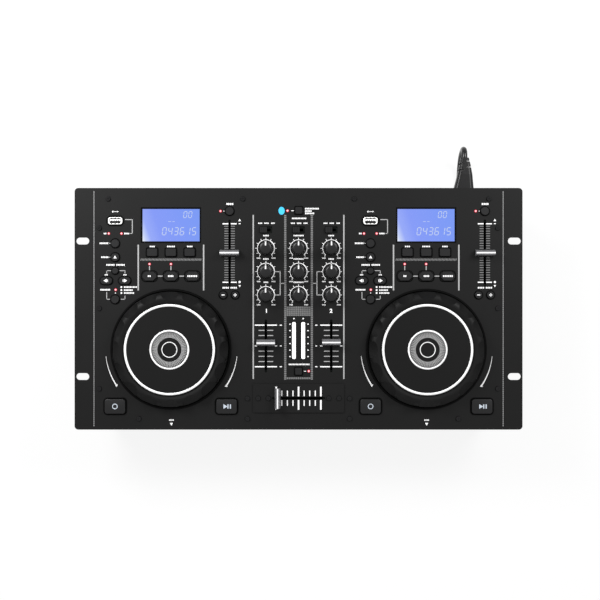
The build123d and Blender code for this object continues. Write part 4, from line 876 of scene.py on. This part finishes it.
# Every third point round the foot is drawn in, which leaves 24 flutes that fade out upwards
choose(
    knob_cap, "VERT",
    lambda v: v.co.z < knob_middle * mm and round(degrees(atan2(v.co.y, v.co.x)) / 5) % 3 == 0,
)
bpy.ops.transform.resize(value=(flute_draw, flute_draw, 1), center_override=(0, 0, 0))
bpy.ops.object.mode_set(mode="OBJECT")
choose(knob_cap, "FACE", lambda face: face.normal.z > 0.9)
bpy.ops.transform.resize(value=(knob_taper, knob_taper, 1), center_override=(0, 0, 0))
for step, rise in ((0.4, 0.6), (0.5, 0.4), (1.5, 0.3)):
    bpy.ops.mesh.inset(thickness=step * mm)
    bpy.ops.transform.translate(value=(0, 0, rise * mm))
bpy.ops.object.mode_set(mode="OBJECT")
blank()
bar(0, 4.4, 1.4, 3.6, 100.2, thickness=0.25)
bpy.ops.mesh.primitive_cube_add(
    size=1, location=(0, 7.1 * mm, 93.8 * mm), rotation=(radians(4.3), 0, 0),
    scale=(1.3 * mm, 0.7 * mm, 9.8 * mm),
)
bpy.ops.object.mode_set(mode="OBJECT")
knob_pointer = bpy.context.object


def copy_to(piece, x, y, name, material, body):
    """Copy a piece with its own mesh, move it along the plate and let it ride."""
    bpy.ops.object.select_all(action="DESELECT")
    one = piece.copy()
    one.data = piece.data.copy()
    bpy.context.collection.objects.link(one)
    one.select_set(True)
    bpy.context.view_layer.objects.active = one
    one.location = (x * mm, y * mm, 0)
    settle(name, material)
    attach(one, body)
    return one


for column, x in knob_columns.items():
    for row, y in knob_rows.items():
        body = f"knob_{column}_{row}"
        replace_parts(copy_to(knob_cap, x, y, f"{body}_cap", abs_plastic, body), body)
        copy_to(knob_pointer, x, y, f"{body}_pointer", white_ink, body)
bpy.data.objects.remove(knob_cap)
bpy.data.objects.remove(knob_pointer)

# Data ports: a folded shell of tinned steel in a rubber surround, with its contacts on a white
# tongue. Each is soldered to the board and looks up through the plate.
tinned = new_material("tin plate on steel")
shader = add_node(
    tinned, "ShaderNodeBsdfPrincipled",
    {"Base Color": hex_colour("f0f0ee"), "Metallic": 0.35, "Roughness": 0.3},
)
add_node(tinned, "ShaderNodeOutputMaterial", {"Surface": shader.outputs[0]})
port_y = 94.8
for side, deck_x in sides.items():
    port_x = deck_x + key_x
    rounded_frame(port_x, port_y, 19.0, 11.2, 4.2, 1.6, 86.3)
    thicken(f"port_surround_{side}", rubber_and_painted_gap_shade, "console", 0.3)
    rounded_frame(port_x, port_y, 15.3, 7.8, 2.6, 1.3, 86.5)
    thicken(f"port_shell_{side}", tinned, "console", 0.4)
    blank()
    bar(port_x, port_y, 11.8, 3.4, 85.8, thickness=0.4)
    printed(f"port_tongue_{side}", white_ink, "console")
    # Four contacts on the tongue, and painted shade of three spring windows above and below it
    blank()
    for n in range(4):
        bar(port_x - 3.6 + 2.4 * n, port_y, 0.9, 1.2, 86.25, thickness=0.1)
    for x in (-4, 0, 4):
        for s in (-1, 1):
            bar(port_x + x, port_y + s * 3.0, 1.6, 0.6, 86.7, thickness=0.08)
    printed(f"port_contacts_and_window_shade_{side}", abs_plastic, "console")

# Displays: a black module with a lit blue field and pale seven-segment figures, soldered to the
# board behind a clear acrylic window whose back is printed black round the field.
field_glow = new_material("edge-lit blue liquid crystal")
place = add_node(field_glow, "ShaderNodeTexCoord")
parts = add_node(field_glow, "ShaderNodeSeparateXYZ", {0: place.outputs["Object"]})
# The lamp sits at the field's left edge, so its first 3 mm are nearly white. Both fields share the
# material, so each is measured along the plate from its own deck's middle
on_right = add_node(
    field_glow, "ShaderNodeMath", {0: parts.outputs["X"], 1: 0.0}, operation="GREATER_THAN"
)
middle = add_node(
    field_glow, "ShaderNodeMapRange",
    {"Value": on_right.outputs[0], "To Min": -deck_middle * mm, "To Max": deck_middle * mm},
)
along = add_node(
    field_glow, "ShaderNodeMath",
    {0: parts.outputs["X"], 1: middle.outputs[0]}, operation="SUBTRACT",
)
# The glow reaches further at the bottom, where y is smallest
lifted = add_node(
    field_glow, "ShaderNodeMath", {0: parts.outputs["Y"], 1: 0.35, 2: along.outputs[0]},
    operation="MULTIPLY_ADD",
)
spread = add_node(
    field_glow, "ShaderNodeMapRange",
    {"Value": lifted.outputs[0], "From Min": -5.3 * mm, "From Max": 68.4 * mm},
)
tone = add_node(field_glow, "ShaderNodeValToRGB", {"Fac": spread.outputs[0]})
ramp = tone.color_ramp
ramp.elements[0].position, ramp.elements[0].color = 0.0, hex_colour("f4f8ff")
ramp.elements[1].position, ramp.elements[1].color = 1.0, hex_colour("80a0fb")
for position, code in ((0.05, "ccd9ff"), (0.13, "9db0ff"), (0.3, "8ba1fe"), (0.7, "84a0fd")):
    ramp.elements.new(position).color = hex_colour(code)
emitted = add_node(field_glow, "ShaderNodeEmission", {"Color": tone.outputs[0], "Strength": 1.07})
add_node(field_glow, "ShaderNodeOutputMaterial", {"Surface": emitted.outputs[0]})
figure_glow = new_material("lit segments")
emitted = add_node(
    figure_glow, "ShaderNodeEmission", {"Color": hex_colour("d2e0ff"), "Strength": 1.0}
)
add_node(figure_glow, "ShaderNodeOutputMaterial", {"Surface": emitted.outputs[0]})
display_y, module_middle, field_top, figure_top = 90.1, 77.4, 82.84, 82.94
blank()
for deck_x in sides.values():
    block(deck_x, display_y, module_middle, 69, 42.5, 10.8)
bpy.ops.mesh.select_all(action="SELECT")
bpy.ops.mesh.bevel(offset=0.6 * mm, segments=2)
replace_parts(printed("display_bodies", abs_plastic, "console"), "display_modules")
# The lit segments of each figure, and where each segment stands in half heights of the figure
figures = {"0": "abcdef", "1": "bc", "3": "abcdg", "4": "bcfg", "5": "acdfg", "6": "acdefg"}
segments = {
    "a": (0, 1, False), "g": (0, 0, False), "d": (0, -1, False), "f": (-0.5, 0.5, True),
    "b": (0.5, 0.5, True), "e": (-0.5, -0.5, True), "c": (0.5, -0.5, True),
}
lean, upright, segment_thickness = 0.14, 82, 0.02


def figure_at(value, x, y, size):
    """Add one slanted figure of lit segments, its middle at x, y and its half height a size."""
    for name in figures[value]:
        dx, dy, stands = segments[name]
        bar(
            x + (dx + lean * dy) * size, y + dy * size, size * 0.8, size * 0.22, figure_top,
            upright if stands else 0, segment_thickness,
        )


for side, deck_x in sides.items():
    blank()
    bar(deck_x, display_y, 62.4, 35.8, field_top, thickness=0.04)
    printed(f"display_field_{side}", field_glow, "console")
    blank()
    for value, x in zip("00", (15.2, 20.6)):
        figure_at(value, deck_x + x, display_y + 11.6, 3.3)
    for value, x in zip("043615", (-7.4, -1.0, 5.4, 11.8, 18.2, 24.6)):
        figure_at(value, deck_x + x, display_y - 6.4, 3.9)
    for x, width in ((-1.6, 3.2), (2.6, 2.6)):
        bar(deck_x + x, display_y + 4.1, width, 0.5, figure_top, thickness=segment_thickness)
    printed(f"display_figures_{side}", figure_glow, "console")
# The window is clear over the field, within these half sizes round its middle, and black outside
acrylic = new_material("clear acrylic with a printed border")
place = add_node(acrylic, "ShaderNodeTexCoord")
parts = add_node(acrylic, "ShaderNodeSeparateXYZ", {0: place.outputs["Object"]})
across = add_node(acrylic, "ShaderNodeMath", {0: parts.outputs["X"]}, operation="ABSOLUTE")
clear_width, clear_depth, clear_y = 30.9 * mm, 17.5 * mm, 90.2 * mm
in_width = add_node(
    acrylic, "ShaderNodeMath",
    {0: across.outputs[0], 1: deck_middle * mm, 2: clear_width}, operation="COMPARE",
)
in_depth = add_node(
    acrylic, "ShaderNodeMath",
    {0: parts.outputs["Y"], 1: clear_y, 2: clear_depth}, operation="COMPARE",
)
clear = add_node(
    acrylic, "ShaderNodeMath",
    {0: in_width.outputs[0], 1: in_depth.outputs[0]}, operation="MULTIPLY",
)
cover = add_node(
    acrylic, "ShaderNodeMapRange", {"Value": clear.outputs[0], "To Min": 1.0, "To Max": 0.06}
)
shader = add_node(
    acrylic, "ShaderNodeBsdfPrincipled",
    {
        "Base Color": hex_colour("020203"), "Roughness": 0.15, "Specular IOR Level": 0.1,
        "Alpha": cover.outputs[0],
    },
)
add_node(acrylic, "ShaderNodeOutputMaterial", {"Surface": shader.outputs[0]})
dress(acrylic, "display_windows")

# Indicator lamps: lit 3 mm diodes of red epoxy with domed lenses. Each stands on the board and
# looks through a hole of the plate.
red_lens = new_material("lit red epoxy lens")
facing = add_node(red_lens, "ShaderNodeNewGeometry")
parts = add_node(red_lens, "ShaderNodeSeparateXYZ", {0: facing.outputs["Normal"]})
# The crown of the dome shows the die, nearly white; the rim glows red
tone = add_node(red_lens, "ShaderNodeValToRGB", {"Fac": parts.outputs["Z"]})
ramp = tone.color_ramp
ramp.elements[0].position, ramp.elements[0].color = 0.45, hex_colour("b01c33")
ramp.elements[1].position, ramp.elements[1].color = 0.92, hex_colour("ffe6e8")
ramp.elements.new(0.78).color = hex_colour("f0566a")
shader = add_node(
    red_lens, "ShaderNodeBsdfPrincipled",
    {
        "Base Color": hex_colour("8a1020"), "Roughness": 0.2,
        "Emission Color": tone.outputs[0], "Emission Strength": 1.0,
    },
)
add_node(red_lens, "ShaderNodeOutputMaterial", {"Surface": shader.outputs[0]})
bpy.ops.object.select_all(action="DESELECT")
lamp_radius, lamp_stem, dome_flatness, dome_height = 1.5, 13, 0.8, 85.3
bpy.ops.mesh.primitive_uv_sphere_add(
    segments=24, ring_count=12, radius=lamp_radius * mm, location=(0, 0, 0)
)
lens = bpy.context.object
choose(lens, "FACE", lambda face: True)
bpy.ops.mesh.bisect(plane_co=(0, 0, 0), plane_no=(0, 0, 1), use_fill=True, clear_inner=True)
bpy.ops.object.mode_set(mode="OBJECT")
choose(lens, "FACE", lambda face: face.normal.z < -0.9)
bpy.ops.mesh.extrude_region_move(TRANSFORM_OT_translate={"value": (0, 0, -lamp_stem * mm)})
bpy.ops.mesh.select_all(action="SELECT")
bpy.ops.mesh.normals_make_consistent(inside=False)
bpy.ops.transform.resize(value=(1, 1, dome_flatness), center_override=(0, 0, 0))
bpy.ops.transform.translate(value=(0, 0, dome_height * mm))
bpy.ops.object.mode_set(mode="OBJECT")
deck_lamps = (
    (-67.0, 81.1), (-53.3, 81.1), (-59.6, 20.5), (-23.1, 48.2), (0.0, 48.2), (53.4, 105.3),
)
lamp_places = [(deck_x + x, y) for deck_x in sides.values() for x, y in deck_lamps]
lamp_places += [(-11.9, 105.7), (11.0, -67.2)]
for n, (x, y) in enumerate(lamp_places):
    one = copy_to(lens, x, y, f"lamp_{n}", red_lens, "console")
    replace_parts(one, "indicator_lamps")
bpy.data.objects.remove(lens)

# Level bars: two lit strips of milky acrylic with rounded ends, side by side in the middle column.
# They stand on the board and come just proud of the plate.
milky = new_material("lit milky acrylic")
shader = add_node(
    milky, "ShaderNodeBsdfPrincipled",
    {
        "Base Color": hex_colour("f0f0f0"), "Roughness": 0.35,
        "Emission Color": hex_colour("ffffff"), "Emission Strength": 0.55,
    },
)
add_node(milky, "ShaderNodeOutputMaterial", {"Surface": shader.outputs[0]})
level_width, level_length, level_height, level_top = 3.9, 39.6, 14.2, 86.2
for side, x in (("left", -5.0), ("right", 5.0)):
    bpy.ops.object.select_all(action="DESELECT")
    level = block(
        x, -34.2, level_top - level_height / 2, level_width, level_length, level_height
    )
    bpy.ops.object.transform_apply(location=True, rotation=True, scale=True)
    choose(level, "EDGE", lambda edge: span(level, edge, 2) > mm)
    bpy.ops.mesh.bevel(offset=1.5 * mm, segments=5)
    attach(settle(f"level_bar_{side}", milky), "console")

# Felt lips: two strips of black wool felt glued inside each disc slot, one above and one below the
# gap, which keep dust out and let the disc by.
felt = new_material("black wool felt")
place = add_node(felt, "ShaderNodeTexCoord")
# Tufts of about 1 mm
tufts = add_node(
    felt, "ShaderNodeTexNoise", {"Vector": place.outputs["Object"], "Scale": 1000.0, "Detail": 6.0}
)
relief = add_node(
    felt, "ShaderNodeBump", {"Height": tufts.outputs[0], "Strength": 0.8, "Distance": 0.0003}
)
shader = add_node(
    felt, "ShaderNodeBsdfPrincipled",
    {
        "Base Color": hex_colour("121212"), "Roughness": 0.95, "Sheen Weight": 0.3,
        "Normal": relief.outputs[0],
    },
)
add_node(felt, "ShaderNodeOutputMaterial", {"Surface": shader.outputs[0]})
lip_y, slot_middle, lip_offset = -124.4, 48.2, 1.3
blank()
for deck_x in sides.values():
    for s in (-1, 1):
        block(deck_x, lip_y, slot_middle + s * lip_offset, 123, 0.8, 2.0)
printed("slot_felts", felt, "console")

# Socket trim: nickel-plated hexagon nuts screwed on the front jacks, and insulating rings of
# coloured nylon round the phono barrels at the back, red below and white above.
nickel = new_material("nickel plate on brass")
shader = add_node(
    nickel, "ShaderNodeBsdfPrincipled",
    {"Base Color": hex_colour("c9c6bd"), "Metallic": 1.0, "Roughness": 0.22},
)
add_node(nickel, "ShaderNodeOutputMaterial", {"Surface": shader.outputs[0]})
trim_depth, jack_x, nut_y, ring_y = 1.8, 16, -125.9, 123.3
blank()
for x in (-jack_x, jack_x):
    bpy.ops.mesh.primitive_cylinder_add(
        vertices=6, radius=8.2 * mm, depth=trim_depth * mm, rotation=(radians(90), 0, 0),
        location=(x * mm, nut_y * mm, 50 * mm),
    )
printed("jack_nuts", nickel, "console")
for name, colour, code, z in (("lower", "red", "b01822", 41), ("upper", "white", "e6e4de", 59)):
    nylon = new_material(f"{colour} nylon")
    shader = add_node(
        nylon, "ShaderNodeBsdfPrincipled", {"Base Color": hex_colour(code), "Roughness": 0.4}
    )
    add_node(nylon, "ShaderNodeOutputMaterial", {"Surface": shader.outputs[0]})
    blank()
    for x in (-186, -162, -138, 20, 44, 68):
        bpy.ops.mesh.primitive_cylinder_add(
            vertices=40, radius=5.6 * mm, depth=trim_depth * mm, rotation=(radians(90), 0, 0),
            location=(x * mm, ring_y * mm, z * mm),
        )
    printed(f"phono_rings_{name}", nylon, "console")
